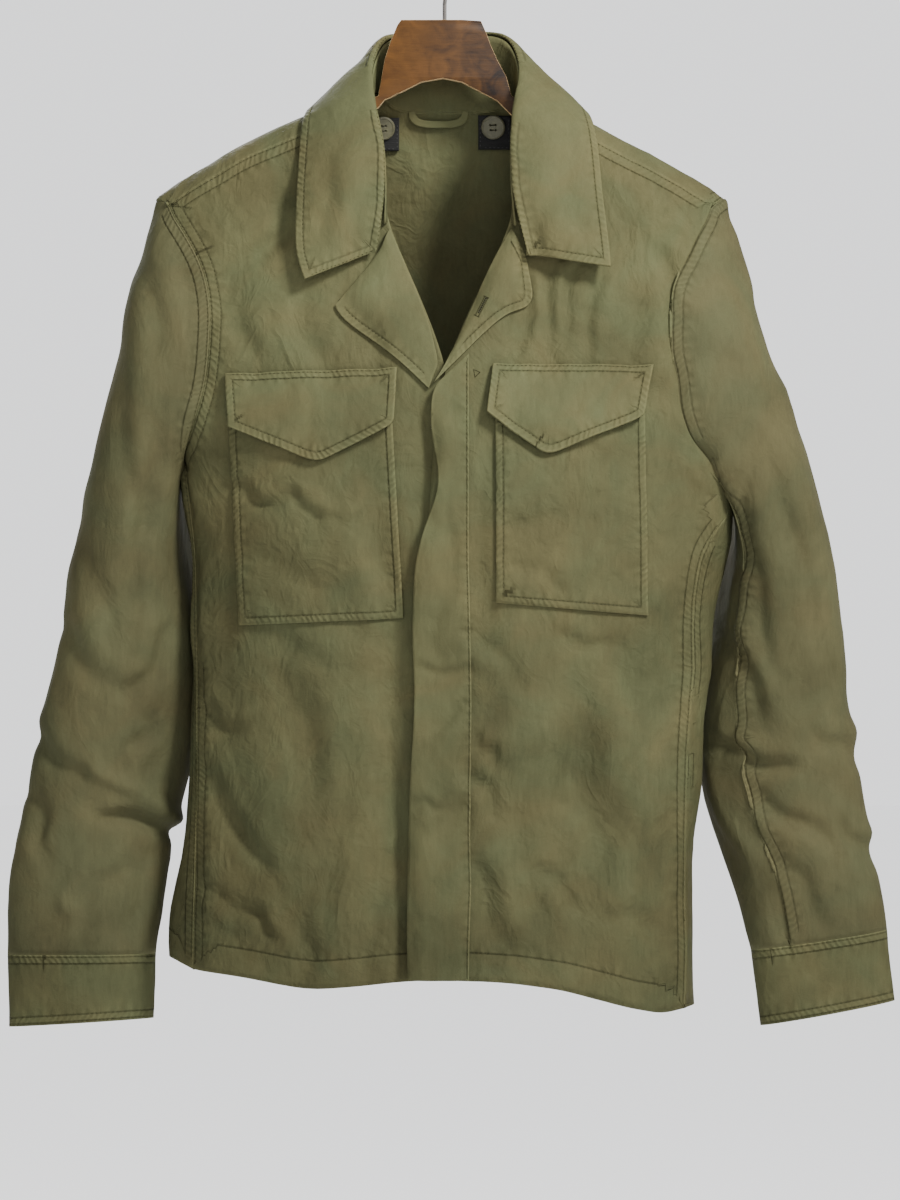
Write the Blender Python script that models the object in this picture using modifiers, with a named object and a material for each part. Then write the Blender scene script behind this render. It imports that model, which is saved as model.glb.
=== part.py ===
"""Shirt jacket hanging on a wooden hanger.

Sizes are in millimetres and become metres when a mesh is made. +X is the wearer's left, -Y is the
front and +Z is up. The origin is the inside top of the hanger's hook. "drop" is the distance below
the origin, "right" and "left" are the wearer's.
"""

import math

import bmesh
import bpy
import numpy as np
from mathutils import Vector

MM = 0.001

# ------------------------------------------------------------------ driving sizes (millimetres)

CLOTH = 1.5             # wall of a single cloth panel
FIRM_CLOTH = 2.0        # wall where the cloth is doubled: collar, cuffs, flaps, placket
SEAM_GAP = 1.5          # between the middles of two walls that meet at an angle
FLAT_SEAM_GAP = 0.6     # between the middles of two walls that run on from each other
ON_PANEL = 2.4          # middle of a piece that lies on a panel, above the panel's middle

BODY_ROUND = 2.3        # exponent of the body's oval section
SHOULDER_TURN = 35.0    # height over which the cloth turns over the shoulder line
FORWARD_SEAM = 14.0     # shoulder seam below the shoulder line, on the front
NECK_HALF = 62.0        # half width of the neck at the shoulder line
NECK_CENTRE = 3.0       # middle of the neck, across
BACK_NECK_DROP = 144.0  # seam of the collar at the middle of the back
FLY_LIFT = 5.6          # the left front lies this far over the right one at the fly

HOOK_RADIUS = 20.0      # middle of the wire
HOOK_WIRE = 3.2
SHANK_X = 1.2
HANGER_THICK = 14.0
HANGER_TOP_DROP = 73.0
BUTTON_WIDE = 15.0
NECK_BUTTON_WIDE = 19.0
BUTTON_THICK = 2.8


def table(columns, rows):
    """Return the rows as one array for each named column."""
    values = np.array(rows, dtype=float).T
    return dict(zip(columns.split(), values))


# Half girth of the hollow body. Above the armholes the width is the one that the chest would have.
BODY = table("drop right left front back", [
    (60, -250, 254, 26, 26),
    (150, -250, 254, 30, 30),
    (200, -250, 254, 36, 36),
    (250, -249, 253, 46, 44),
    (300, -245, 251, 56, 52),
    (370, -229, 243, 67, 60),
    (422, -203, 232, 71, 64),
    (450, -201, 222, 72, 66),
    (500, -197, 219, 72, 66),
    (547, -195, 212, 71, 65),
    (595, -198, 209, 70, 64),
    (639, -201, 207, 70, 64),
    (682, -203, 205, 71, 64),
    (725, -206, 199, 72, 65),
    (763, -215, 197, 73, 66),
    (794, -222, 197, 74, 68),
    (830, -212, 199, 74, 68),
    (870, -210, 202, 74, 68),
])

# Shoulder line from the middle of the neck out to the sleeve heads.
SHOULDER = table("x drop", [
    (-232, 219), (-221, 210), (-196, 192), (-172, 179), (-139, 162), (-107, 149), (-58, 129),
    (0, 116), (58, 129), (107, 150), (135, 164), (170, 182), (194, 196), (211, 207), (232, 222),
])

# Lower edge of the jacket, across.
HEM = table("x drop", [
    (-222, 804), (-208, 816), (-197, 821), (-152, 827), (-109, 836), (-66, 833), (-27, 828),
    (20, 828), (51, 830), (94, 836), (144, 850), (174, 856), (202, 848),
])

# Front panels, hem to shoulder seam: the front edge and the outer edge, which is the side seam up
# to the armhole and then the armhole.
FRONT_RIGHT = table("inner_x inner_drop outer_x outer_drop", [
    (7, 828, -196, 821), (7, 767, -195, 759), (7, 688, -194, 688), (7, 610, -194, 617),
    (7, 531, -194, 555), (7, 468, -195, 500), (5, 405, -199, 453), (5, 374, -202, 424),
    (2, 351, -194, 396), (-4, 330, -187, 365), (-14, 303, -184, 335), (-29, 268, -183, 300),
    (-43, 234, -188, 272), (-48, 201, -199, 250), (-53, 170, -209, 234), (-59, 143, -217, 221),
])
FRONT_LEFT = table("inner_x inner_drop outer_x outer_drop", [
    (-13, 828, 189, 852), (-13, 767, 190, 759), (-13, 700, 189, 700), (-13, 640, 190, 640),
    (-13, 580, 195, 590), (-13, 520, 195, 535), (-10, 450, 205, 476), (-6, 400, 221, 449),
    (2, 351, 204, 424), (10, 330, 192, 400), (20, 305, 185, 375), (38, 268, 181, 335),
    (53, 234, 182, 296), (57, 201, 190, 264), (60, 170, 202, 242), (65, 144, 212, 222),
])
UNDERARM_ROW = 7        # the row of both tables that meets the sleeves' lowest point

# Back panel's ends, hem to shoulder seam. "level" is the drop, and past the shoulder line it goes
# on as the length of cloth. Up to the armholes the ends are the side seams.
BACK_ARMHOLE = table("right_x right_level left_x left_level", [
    (-200, 398, 222, 420), (-197, 370, 215, 392), (-196, 335, 208, 355), (-198, 300, 203, 315),
    (-203, 272, 203, 280), (-210, 248, 208, 252), (-218, 224, 214, 228), (-227, 196, 222, 200),
    (-222, 172, 218, 174),
])

# Sleeves from armhole to cuff: a ring through its outer and inner edge.
SLEEVE_COLUMNS = "outer_x outer_drop inner_x inner_drop depth centre_y skew bulge"
SLEEVE_RIGHT = table(SLEEVE_COLUMNS, [
    (-229, 216, -203, 424, 52, 0, 0, 31), (-238, 241, -208, 441, 58, 3, 4, 20),
    (-247, 277, -208, 459, 62, 8, 9, 10), (-256, 325, -206, 481, 62, 13, 14, 3),
    (-266, 381, -202, 505, 60, 17, 17, 0), (-276, 431, -196, 532, 57, 20, 18, 0),
    (-288, 487, -192, 562, 53, 23, 18, 0), (-301, 556, -191, 600, 48, 25, 17, 0),
    (-310, 594, -194, 627, 45, 26, 16, 0), (-319, 637, -199, 655, 42, 26, 14, 0),
    (-326, 668, -205, 680, 38, 26, 12, 0), (-328, 700, -210, 706, 35, 25, 10, 0),
    (-340, 733, -217, 735, 32, 23, 8, 0), (-344, 762, -223, 767, 28, 21, 6, 0),
    (-345, 812, -228, 811, 22, 20, 4, 0),
])
SLEEVE_LEFT = table(SLEEVE_COLUMNS, [
    (224, 219, 223, 448, 52, 0, 0, 31), (233, 241, 231, 464, 58, 3, -4, 20),
    (246, 288, 232, 481, 62, 8, -9, 10), (263, 343, 230, 502, 62, 13, -14, 3),
    (280, 401, 224, 525, 59, 17, -17, 0), (295, 455, 217, 550, 56, 20, -18, 0),
    (305, 498, 211, 577, 52, 23, -18, 0), (313, 556, 206, 610, 47, 25, -17, 0),
    (321, 606, 204, 640, 44, 26, -16, 0), (327, 652, 205, 668, 41, 26, -14, 0),
    (333, 695, 211, 697, 37, 26, -12, 0), (337, 727, 220, 727, 34, 25, -10, 0),
    (345, 757, 233, 757, 30, 23, -8, 0), (350, 792, 245, 808, 22, 20, -4, 0),
])
# Lower end of the cuffs, as a row of the sleeves' tables.
CUFF_END = {"right": (-343, 869, -230, 862, 20, 20, 3, 0), "left": (358, 848, 252, 868, 20, 20, -3, 0)}

# Front and back seam of each sleeve, as places round the ring from its outer edge, at the armhole
# and at the cuff.
SLEEVE_SEAMS = {"right": ((0.60, 0.60), (0.88, 0.88)), "left": ((0.46, 0.33), (0.72, 0.72))}

# Fly placket: front edge and stitched edge.
PLACKET = table("drop edge_x seam_x", [
    (366, -8, 20), (397, -10, 20), (431, -3, 20), (445, -3, 20), (468, -12, 20), (494, -20, 20),
    (540, -23, 21), (606, -21, 22), (697, -25, 21), (760, -26, 20), (828, -27, 20),
])

# Lapels from the break up to the collar: the roll and the free edge.
LAPEL_RIGHT = table("roll_x roll_drop edge_x edge_drop", [
    (-4, 347, -11, 366), (-7, 332, -40, 339), (-14, 306, -84, 305), (-29, 270, -69, 283),
    (-42, 240, -52, 262),
])
LAPEL_LEFT = table("roll_x roll_drop edge_x edge_drop", [
    (6, 341, -7, 362), (11, 330, 12, 343), (21, 305, 47, 309), (38, 270, 69, 299),
    (54, 240, 66, 266),
])

# Collar, front end to the middle of the back: seam on the neckline, roll and free edge.
COLLAR_COLUMNS = "neck_x neck_drop roll_x roll_y roll_drop edge_x edge_y edge_drop"
COLLAR_RIGHT = table(COLLAR_COLUMNS, [
    (-43, 234, -46, -50, 236, -108, -63, 280), (-45, 215, -45, -50, 206, -115, -54, 258),
    (-48, 192, -46, -45, 180, -115, -46, 220), (-53, 170, -50, -38, 156, -113, -34, 180),
    (-59, 143, -54, -27, 138, -110, -21, 152), (-57, 131, -57, -10, 117, -104, 2, 141),
    (-47, 136, -51, 12, 96, -96, 22, 146), (-33, 143, -41, 24, 85, -77, 40, 162),
    (-16, 144, -23, 33, 84, -42, 47, 171), (3, 144, 4, 36, 85, 4, 50, 173),
])
COLLAR_LEFT = table(COLLAR_COLUMNS, [
    (53, 234, 57, -53, 238, 131, -63, 270), (55, 215, 54, -51, 212, 130, -54, 254),
    (57, 192, 53, -45, 184, 125, -45, 213), (60, 170, 54, -38, 158, 122, -34, 178),
    (65, 144, 57, -27, 140, 118, -21, 157), (62, 131, 61, -10, 117, 112, 2, 143),
    (53, 136, 56, 12, 96, 104, 22, 148), (39, 143, 46, 24, 84, 85, 40, 163),
    (22, 144, 28, 33, 83, 50, 47, 171), (3, 144, 4, 36, 85, 4, 50, 173),
])
COLLAR_END = {-1: (-4, -5, 21), 1: (8, -5, 22)}     # how far the leaf's fold reaches past the stand's end
NECK_POINT_ROW = 4      # the row of both tables at the shoulder seam
NECK_COLUMNS = 13

# Patch pockets and their pointed flaps: corners, and the lowest point of the flap.
POCKETS = {
    "right": {"top": ((-168, 364), (-41, 362)), "bottom": ((-159, 551), (-31, 545))},
    "left": {"top": ((41, 358), (157, 358)), "bottom": ((41, 533), (160, 543))},
}
FLAPS = {
    "right": {"top": ((-170, 354), (-36, 350)), "bottom": ((-165, 394), (-97, 424), (-38, 394))},
    "left": {"top": ((39, 347), (164, 347)), "bottom": ((34, 385), (81, 418), (155, 388))},
}

# Largest folds, each a soft valley (negative) or ridge along a line.
FOLD_COLUMNS = "x0 drop0 x1 drop1 width push"
FRONT_FOLDS = table(FOLD_COLUMNS, [
    (-188, 690, -146, 745, 18, -4.0), (-190, 775, -136, 800, 16, -4.0), (-42, 560, -38, 800, 15, -3.5),
    (112, 640, 118, 730, 22, -6.0), (30, 745, 50, 800, 16, -4.0), (85, 745, 110, 770, 15, -3.5),
    (100, 565, 135, 575, 14, -3.0), (-120, 225, -165, 300, 22, -4.0), (90, 280, 75, 340, 14, -2.5),
    (-120, 640, -100, 760, 24, 3.5), (70, 650, 80, 760, 22, 3.0), (150, 640, 155, 780, 20, 3.0),
])
BACK_FOLDS = table(FOLD_COLUMNS, [
    (-120, 400, -60, 560, 24, -4.0), (120, 420, 70, 580, 24, -4.0), (-100, 640, -90, 800, 26, 5.0),
    (60, 640, 70, 810, 26, 5.0), (-20, 600, -15, 800, 24, -4.0), (130, 650, 135, 800, 22, -4.0),
    (-165, 700, -150, 800, 20, -4.0),
])
SLEEVE_FOLDS = table(FOLD_COLUMNS, [
    (-268, 702, -215, 712, 11, -5.0), (-272, 664, -220, 698, 13, 4.0), (-320, 710, -300, 735, 13, -4.0),
    (-262, 480, -235, 640, 16, -3.0), (250, 300, 268, 420, 14, 3.5), (262, 440, 285, 600, 16, -3.5),
    (228, 680, 245, 745, 11, 4.0), (300, 690, 330, 700, 13, -4.0), (255, 655, 300, 640, 13, -3.5),
])

# Buttons of the fly, under the placket.
FLY_BUTTON_DROPS = (395, 500, 605, 710)
FLY_BUTTON_X = -2.0
FLY_FADE_X = (22.0, 80.0)       # the left front comes down to the body's form between these
FLY_FADE_DROP = (296.0, 356.0)

# Body and armholes.
WIDTH_DROP = 150.0              # the body's width stays the same above this drop
HEM_DROP = 820.0                # about the middle of the hem
SLOPE_STEP = 2.0                # reach over which the slope of the cloth is taken
SIDE_SEAM_ROWS = 13             # rows of panel points along a side seam
SIDE_SEAM_ANGLE = 0.009         # between the fronts and the back at the side seams
BACK_YOKE_ROWS = 3.0            # rows of the back's armhole that turn over the shoulder
ARMHOLE_POINTS = 96
ARMHOLE_GAP = 1.0
UNDERARM_GAP = 1.8              # more at the armhole's lowest point
UNDERARM_SHARE = 0.16           # share of the armhole over which it fades out

# Sleeves and cuffs.
SLEEVE_HEAD_ROWS = 5            # rows over which the sleeve leaves the armhole's shape
SLEEVE_ROW_EASE = 1.15          # above 1 for closer rows at the armhole
SLEEVE_SEAM_SHARE = 0.0018      # half the gap of a sleeve seam, as a share of the ring
SLEEVE_FACES = {"top": 19, "under": 11}     # columns of points
CUFF_GAP = 0.6

# Placket, lapels and collar.
PLACKET_LIFT = 0.9
PLACKET_TOP_RISE = 26.0         # the placket's top slants up along the lapel's edge
PLACKET_TOP_FADE = 90.0         # length over which the slant fades out
LAPEL_SEAT = 0.3
LAPEL_ROLL_RISE = 4.0           # how far the lapel stands off behind its roll
COLLAR_ROLL = ((0.2, 2.3), (3.2, 3.4), (6.5, 2.0))    # first points of the leaf: outward, beyond
COLLAR_PUFF = 3.0
NECK_SQUARE = 8                 # higher for a squarer neckline at the back

# Pockets and flaps.
POCKET_PUFF = 3.0
FLAP_SEAT = 0.2
FLAP_RISE = 2.8                 # over the pocket under it
FLAP_RISE_SHARE = 0.2           # share of the flap's height over which it rises
FLAP_FLARE = 4.5                # more at its tip

# Trim inside the back of the neck.
LOOP_ENDS = (-27.0, 20.0)       # hanger loop, across
LOOP_DROP = 147.0
LOOP_SAG = 7.0
LOOP_WIDE = 6.0
LOOP_SEAT = 2.3                 # its ends lie this far inside the back
LOOP_STAND = 3.0                # its middle stands off by this much more
TAB_INSET = 3.4                 # the tabs lie this far inside the back
TAB_BUTTON_LIFT = 2.4
TABS = {"right": (-56, -35, 147, 174), "left": (28, 54, 145, 173)}    # right, left, top, bottom
TAB_BUTTONS = {"right": (-48, 155), "left": (40, 154.5)}

# Hanger and hook.
HANGER_UNDER_SHOULDER = 3.4
HANGER_EDGE = 3.0               # rounding of the wood's edges
HANGER_NECK = 61.0              # half width of the part that shows in the neck
HANGER = table("x top bottom", [
    (-203, 200, 232), (-195, 195, 228), (-172, 180, 214), (-139, 164, 196), (-107, 150, 176),
    (-75, 141, 158), (-58, 136, 146), (-51, 133, 142), (-48.5, 118, 139), (-46, 104, 136),
    (-41, 89, 134), (-36, 77, 131), (-33, 73, 130), (-17, 73, 122), (0, 73, 119), (15, 73, 122),
    (30, 74, 130), (34, 83, 132), (38, 94, 134), (43, 105, 137), (50, 118, 144), (54, 133, 148),
    (60, 136, 152), (75, 141, 162), (107, 150, 180), (135, 164, 198), (170, 182, 218),
    (194, 196, 234), (201, 200, 238),
])
HOOK_START, HOOK_END = -52.0, 207.0     # degrees
HOOK_NECK = ((0.0, -60.0), (0.8, -53.0), (4.8, -45.0))      # bend above the shank: across, up
HOOK_POINTS = 22
SEAT_GAP = 0.3

# ------------------------------------------------------------------ curves and surfaces


def curve_at(knots, values, where):
    """Smooth curve through a table's column."""
    knots, values = np.asarray(knots, float), np.asarray(values, float)
    slopes = np.gradient(values, knots)
    where = np.clip(where, knots[0], knots[-1])
    i = np.clip(np.searchsorted(knots, where) - 1, 0, len(knots) - 2)
    width = knots[i + 1] - knots[i]
    t = (where - knots[i]) / width
    start = (1 + 2 * t) * (1 - t) ** 2 * values[i] + t * (1 - t) ** 2 * width * slopes[i]
    end = t * t * (3 - 2 * t) * values[i + 1] - t * t * (1 - t) * width * slopes[i + 1]
    return start + end


def row_at(rows, name, position):
    """Column of a table at a position counted in rows."""
    return curve_at(np.arange(len(rows[name])), rows[name], position)


def smooth_step(value):
    """Ease from 0 to 1, held outside."""
    value = np.clip(value, 0.0, 1.0)
    return value * value * (3.0 - 2.0 * value)


def shoulder_drop(x):
    """Drop of the shoulder line."""
    return np.interp(x, SHOULDER["x"], SHOULDER["drop"])


def body_middle(drop):
    """Middle and half width of the hollow body."""
    right = curve_at(BODY["drop"], BODY["right"], drop)
    left = curve_at(BODY["drop"], BODY["left"], drop)
    return (right + left) / 2, (left - right) / 2


def fold_push(folds, x, drop):
    """How far the folds move the cloth outward."""
    total = np.zeros(np.broadcast(x, drop).shape)
    for x0, drop0, x1, drop1, width, push in zip(*folds.values()):
        along = np.array((x1 - x0, drop1 - drop0))
        length = math.hypot(*along)
        part = np.clip(((x - x0) * along[0] + (drop - drop0) * along[1]) / length ** 2, 0, 1)
        away = np.hypot(x - x0 - part * along[0], drop - drop0 - part * along[1])
        total = total + push * np.exp(-((away / width) ** 2))
    return total


def crown(ratio):
    """Height of the oval section at a share of its half width."""
    return (1 - np.clip(np.abs(ratio), 0, 1) ** BODY_ROUND) ** (1 / BODY_ROUND)


def front_y(x, drop):
    """Depth of the front, with its folds."""
    middle, half = body_middle(drop)
    below = np.clip((drop - shoulder_drop(x)) / SHOULDER_TURN, 0, 1)
    turn = np.sqrt(1 - (1 - below) ** 2)
    depth = curve_at(BODY["drop"], BODY["front"], drop)
    height = crown((x - middle) / half)
    return -(depth * height * turn + fold_push(FRONT_FOLDS, x, drop) * turn * np.minimum(1, 2 * height))


def front_point(x, drop, lift=0.0):
    """Point of the front, moved out square to the cloth."""
    step = SLOPE_STEP
    y = front_y(x, drop)
    slope_x = (front_y(x + step, drop) - front_y(x - step, drop)) / (2 * step)
    slope_drop = (front_y(x, drop + step) - front_y(x, drop - step)) / (2 * step)
    length = np.sqrt(1 + slope_x ** 2 + slope_drop ** 2)
    return np.stack((
        x + lift * slope_x / length,
        y - lift / length,
        -(drop + lift * slope_drop / length),
    ), axis=-1)


def front_angle(x, drop):
    """Place across the front, as an angle round the body."""
    middle, half = body_middle(drop)
    return np.arcsin(np.clip((x - middle) / half, -1, 1))


def fly_lift(x, drop):
    """How far the left front lies over the right one."""
    (inner, outer), (start, end) = FLY_FADE_X, FLY_FADE_DROP
    return FLY_LIFT * smooth_step((outer - x) / (outer - inner)) * smooth_step((drop - start) / (end - start))


def panel_rows(count, up):
    """Positions up a panel: even ones along the side seam, then even ones along the armhole."""
    lower = np.linspace(0, UNDERARM_ROW, SIDE_SEAM_ROWS)
    return np.concatenate((lower, np.linspace(UNDERARM_ROW, count - 1, up - SIDE_SEAM_ROWS + 1)[1:]))


def front_panel(rows, across, up, lifted):
    """Grid of one front, hem to shoulder seam, front edge to outer edge."""
    count = len(rows["inner_x"])
    position = panel_rows(count, up)[:, None]
    share = np.linspace(0, 1, across)[None, :]
    inner_x, inner_drop = row_at(rows, "inner_x", position), row_at(rows, "inner_drop", position)
    outer_x, outer_drop = row_at(rows, "outer_x", position), row_at(rows, "outer_drop", position)
    drop = inner_drop + (outer_drop - inner_drop) * share
    inner_angle, outer_angle = front_angle(inner_x, inner_drop), front_angle(outer_x, outer_drop)
    angle = inner_angle + (outer_angle - inner_angle) * share
    middle, half = body_middle(drop)
    x = middle + half * np.sin(angle)
    seam_bow = shoulder_drop(x[-1]) + FORWARD_SEAM - drop[-1]
    hem_bow = np.interp(x[0], HEM["x"], HEM["drop"]) - drop[0]
    from_top = smooth_step((position - (UNDERARM_ROW + 2)) / (count - 1 - UNDERARM_ROW - 2))
    drop = drop + from_top * seam_bow[None, :] + (1 - smooth_step(position / 3)) * hem_bow[None, :]
    x = np.where(share == 0, inner_x, x)
    return front_point(x, drop, fly_lift(x, drop) if lifted else 0.0)


def back_point(angle, level):
    """Point of the back panel: across as an angle from the middle, and up as a level."""
    middle, half = body_middle(np.maximum(level, WIDTH_DROP))
    x = middle + half * np.sin(angle)
    turn_level = shoulder_drop(x) + SHOULDER_TURN
    roll = np.clip((turn_level - level) / SHOULDER_TURN, 0, None)
    drop = np.where(roll > 0, turn_level - SHOULDER_TURN * np.sin(roll), level)
    middle, half = body_middle(drop)
    height = np.where(np.abs(angle) <= math.pi / 2, 1, -1) * crown((x - middle) / half)
    forward = np.cos(roll) * height < 0
    depth = np.where(forward, curve_at(BODY["drop"], BODY["front"], drop),
                     curve_at(BODY["drop"], BODY["back"], drop))
    back = (height > 0) & (roll <= 0)
    push = np.where(back, fold_push(BACK_FOLDS, x, drop) * np.minimum(1, 2 * np.abs(height)), 0)
    side_push = fold_push(FRONT_FOLDS, x, drop) * np.minimum(1, 2 * np.abs(height))
    push = push - np.where(height < 0, side_push, 0)
    y = depth * height * np.cos(roll) + push
    return np.stack((x, y, -drop), axis=-1)


def back_top_level(x):
    """Upper edge of the back panel: shoulder seams, and the neckline between them."""
    seam_roll = math.pi - math.asin(1 - FORWARD_SEAM / SHOULDER_TURN)
    seam = shoulder_drop(x) + SHOULDER_TURN * (1 - seam_roll) + FLAT_SEAM_GAP
    away = np.clip(np.abs(x - NECK_CENTRE) / NECK_HALF, 0, 1)
    neck_point = shoulder_drop(NECK_HALF + NECK_CENTRE) + SHOULDER_TURN * (1 - seam_roll)
    neck = BACK_NECK_DROP - (BACK_NECK_DROP - neck_point) * away ** NECK_SQUARE
    return np.where(away < 1, np.maximum(neck, seam), seam)


def back_end(side, up):
    """One end of the back panel, hem to shoulder seam, as angle and level."""
    rows, sign = (FRONT_RIGHT, -1) if side == "right" else (FRONT_LEFT, 1)
    lower = np.linspace(0, UNDERARM_ROW, SIDE_SEAM_ROWS)
    seam_x, seam_drop = row_at(rows, "outer_x", lower), row_at(rows, "outer_drop", lower)
    seam_angle = sign * math.pi - front_angle(seam_x, seam_drop) - sign * SIDE_SEAM_ANGLE
    tip_x = rows["outer_x"][-1]
    hole_x = np.concatenate((BACK_ARMHOLE[side + "_x"], [tip_x]))
    hole_level = np.concatenate((BACK_ARMHOLE[side + "_level"], [back_top_level(tip_x)]))
    hole_angle = front_angle(hole_x, np.maximum(hole_level, WIDTH_DROP))
    corner_angle = sign * math.pi - seam_angle[-1]
    hole_angle = np.concatenate(([corner_angle], hole_angle))
    hole_level = np.concatenate(([seam_drop[-1]], hole_level))
    last = len(hole_level) - 1
    middle_row = last - BACK_YOKE_ROWS
    rows_up = up - SIDE_SEAM_ROWS
    position = np.concatenate((
        np.linspace(0, middle_row, rows_up // 2 + 1)[1:],
        np.linspace(middle_row, last, rows_up - rows_up // 2 + 1)[1:],
    ))
    knots = np.arange(last + 1)
    angle = np.concatenate((seam_angle, curve_at(knots, hole_angle, position)))
    level = np.concatenate((seam_drop, curve_at(knots, hole_level, position)))
    return angle, level


def back_panel(outer_columns, neck_columns, up):
    """Grid of the back, hem to shoulder seams, right to left, round both sides."""
    right_angle, right_level = back_end("right", up)
    left_angle, left_level = back_end("left", up)
    tip_right, tip_left = right_angle[-1], left_angle[-1]
    turn = np.linspace(-math.pi / 2, math.pi / 2, neck_columns)
    neck_angle = front_angle(NECK_CENTRE + NECK_HALF * np.sin(turn), WIDTH_DROP)
    top_angle = np.concatenate((
        np.linspace(tip_right, neck_angle[0], outer_columns)[:-1],
        neck_angle,
        np.linspace(neck_angle[-1], tip_left, outer_columns)[1:],
    ))
    share = (top_angle - tip_right) / (tip_left - tip_right)
    angle = right_angle[:, None] * (1 - share) + left_angle[:, None] * share
    middle, half = body_middle(WIDTH_DROP)
    top = back_top_level(middle + half * np.sin(top_angle))
    top[0], top[-1] = right_level[-1], left_level[-1]
    middle, half = body_middle(HEM_DROP)
    hem = np.interp(middle + half * np.sin(angle[0]), HEM["x"], HEM["drop"])
    hem[0], hem[-1] = right_level[0], left_level[0]
    rise = ((right_level[0] - right_level) / (right_level[0] - right_level[-1]))[:, None]
    edges = right_level[:, None] * (1 - share) + left_level[:, None] * share
    hem_line = hem[0] * (1 - share) + hem[-1] * share
    top_line = top[0] * (1 - share) + top[-1] * share
    level = edges + (1 - rise) * (hem - hem_line) + rise * (top - top_line)
    return back_point(angle, level)


def armhole_loop(side, rows, around):
    """Edge of the armhole, from the shoulder down the front and up the back."""
    upper = np.linspace(len(rows["outer_x"]) - 1, UNDERARM_ROW, around)
    front = front_point(row_at(rows, "outer_x", upper), row_at(rows, "outer_drop", upper))
    angle, level = back_end(side, around)
    back = back_point(angle[SIDE_SEAM_ROWS:], level[SIDE_SEAM_ROWS:])
    tip = int(np.argmax(back[:, 2]))
    front = np.concatenate((back[tip:], front))
    back = np.concatenate((front[-1:], back[:tip + 1]))
    return np.concatenate((along(front, around // 2 + 1)[:-1], along(back, around // 2 + 1)))


def along(points, count):
    """Points at even distances along a line."""
    lengths = np.concatenate(([0], np.cumsum(np.linalg.norm(np.diff(points, axis=0), axis=1))))
    where = np.linspace(0, lengths[-1], count)
    return np.stack([curve_at(lengths, points[:, axis], where) for axis in range(3)], axis=-1)


def sleeve_ring(rows, position, share):
    """Points of a sleeve's ring; share runs from the outer edge over the front to the back."""
    value = {name: row_at(rows, name, position) for name in rows}
    turn = 2 * math.pi * share
    out_x = (value["outer_x"] - value["inner_x"]) / 2
    out_drop = (value["outer_drop"] - value["inner_drop"]) / 2
    length = np.hypot(out_x, out_drop)
    toward_body = value["bulge"] * np.abs(np.sin(turn)) ** 1.5 * -np.sign(value["outer_x"])
    x = (value["outer_x"] + value["inner_x"]) / 2 + out_x * np.cos(turn)
    x = x - value["skew"] * np.sin(turn) + toward_body * np.abs(out_drop) / length
    drop = (value["outer_drop"] + value["inner_drop"]) / 2 + out_drop * np.cos(turn)
    y = value["centre_y"] - value["depth"] * np.sin(turn)
    push = fold_push(SLEEVE_FOLDS, x, drop) * np.sin(turn)
    return np.stack((x, y - push, -drop), axis=-1)


def sleeve_shares(side, piece, columns, along_sleeve):
    """Places round the ring of a sleeve piece's columns, for each place along the sleeve."""
    (front_top, front_cuff), (back_top, back_cuff) = SLEEVE_SEAMS[side]
    front = front_top + (front_cuff - front_top) * along_sleeve
    back = back_top + (back_cuff - back_top) * along_sleeve
    start, end = (front, back) if piece == "under" else (back, front + 1)
    start, end = start + SLEEVE_SEAM_SHARE, end - SLEEVE_SEAM_SHARE
    return start + (end - start) * np.linspace(0, 1, columns)[None, :]


def sleeve_grid(side, rows, front_rows, piece, columns, up):
    """Grid of the top sleeve or the under sleeve, armhole to cuff."""
    loop = armhole_loop(side, front_rows, ARMHOLE_POINTS)
    count = len(rows["depth"])
    along_sleeve = (np.linspace(0, 1, up) ** SLEEVE_ROW_EASE)[:, None]
    position = along_sleeve * (count - 1)
    shares = sleeve_shares(side, piece, columns, along_sleeve)
    grid = sleeve_ring(rows, position, shares)
    knots = np.linspace(0, 1, ARMHOLE_POINTS + 1)
    place = shares[0] % 1.0
    head = np.stack([np.interp(place, knots, loop[:, axis]) for axis in range(3)], axis=-1)
    fade = (1 - smooth_step(position / SLEEVE_HEAD_ROWS))[:, :, None]
    grid = grid + fade * (head - grid[0])[None]
    step = grid[1] - grid[0]
    grid[0] += step / np.linalg.norm(step, axis=-1, keepdims=True) * FLAT_SEAM_GAP
    low = np.exp(-((place - 0.5) / UNDERARM_SHARE) ** 2)
    grid[0, :, 0] += np.sign(rows["outer_x"][0]) * (ARMHOLE_GAP + UNDERARM_GAP * low)
    return grid


def cuff_grid(side, rows, columns, up=3):
    """Rings of a cuff, from the end of the sleeve down."""
    top = [rows[name][-1] for name in rows]
    top[1] += CUFF_GAP
    top[3] += CUFF_GAP
    cuff_rows = table(SLEEVE_COLUMNS, [top, CUFF_END[side]])
    shares = np.linspace(0, 1, columns + 1)[None, :-1]
    return sleeve_ring(cuff_rows, np.linspace(0, 1, up)[:, None], shares)


def quad_point(corners, across, up):
    """Place inside a four-cornered outline: its top and bottom edge, each right to left."""
    top = np.array(corners["top"][0]) * (1 - across) + np.array(corners["top"][-1]) * across
    bottom = np.array(corners["bottom"][0]) * (1 - across) + np.array(corners["bottom"][-1]) * across
    return top * (1 - up) + bottom * up


# ------------------------------------------------------------------ grids of the laid-on pieces


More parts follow.
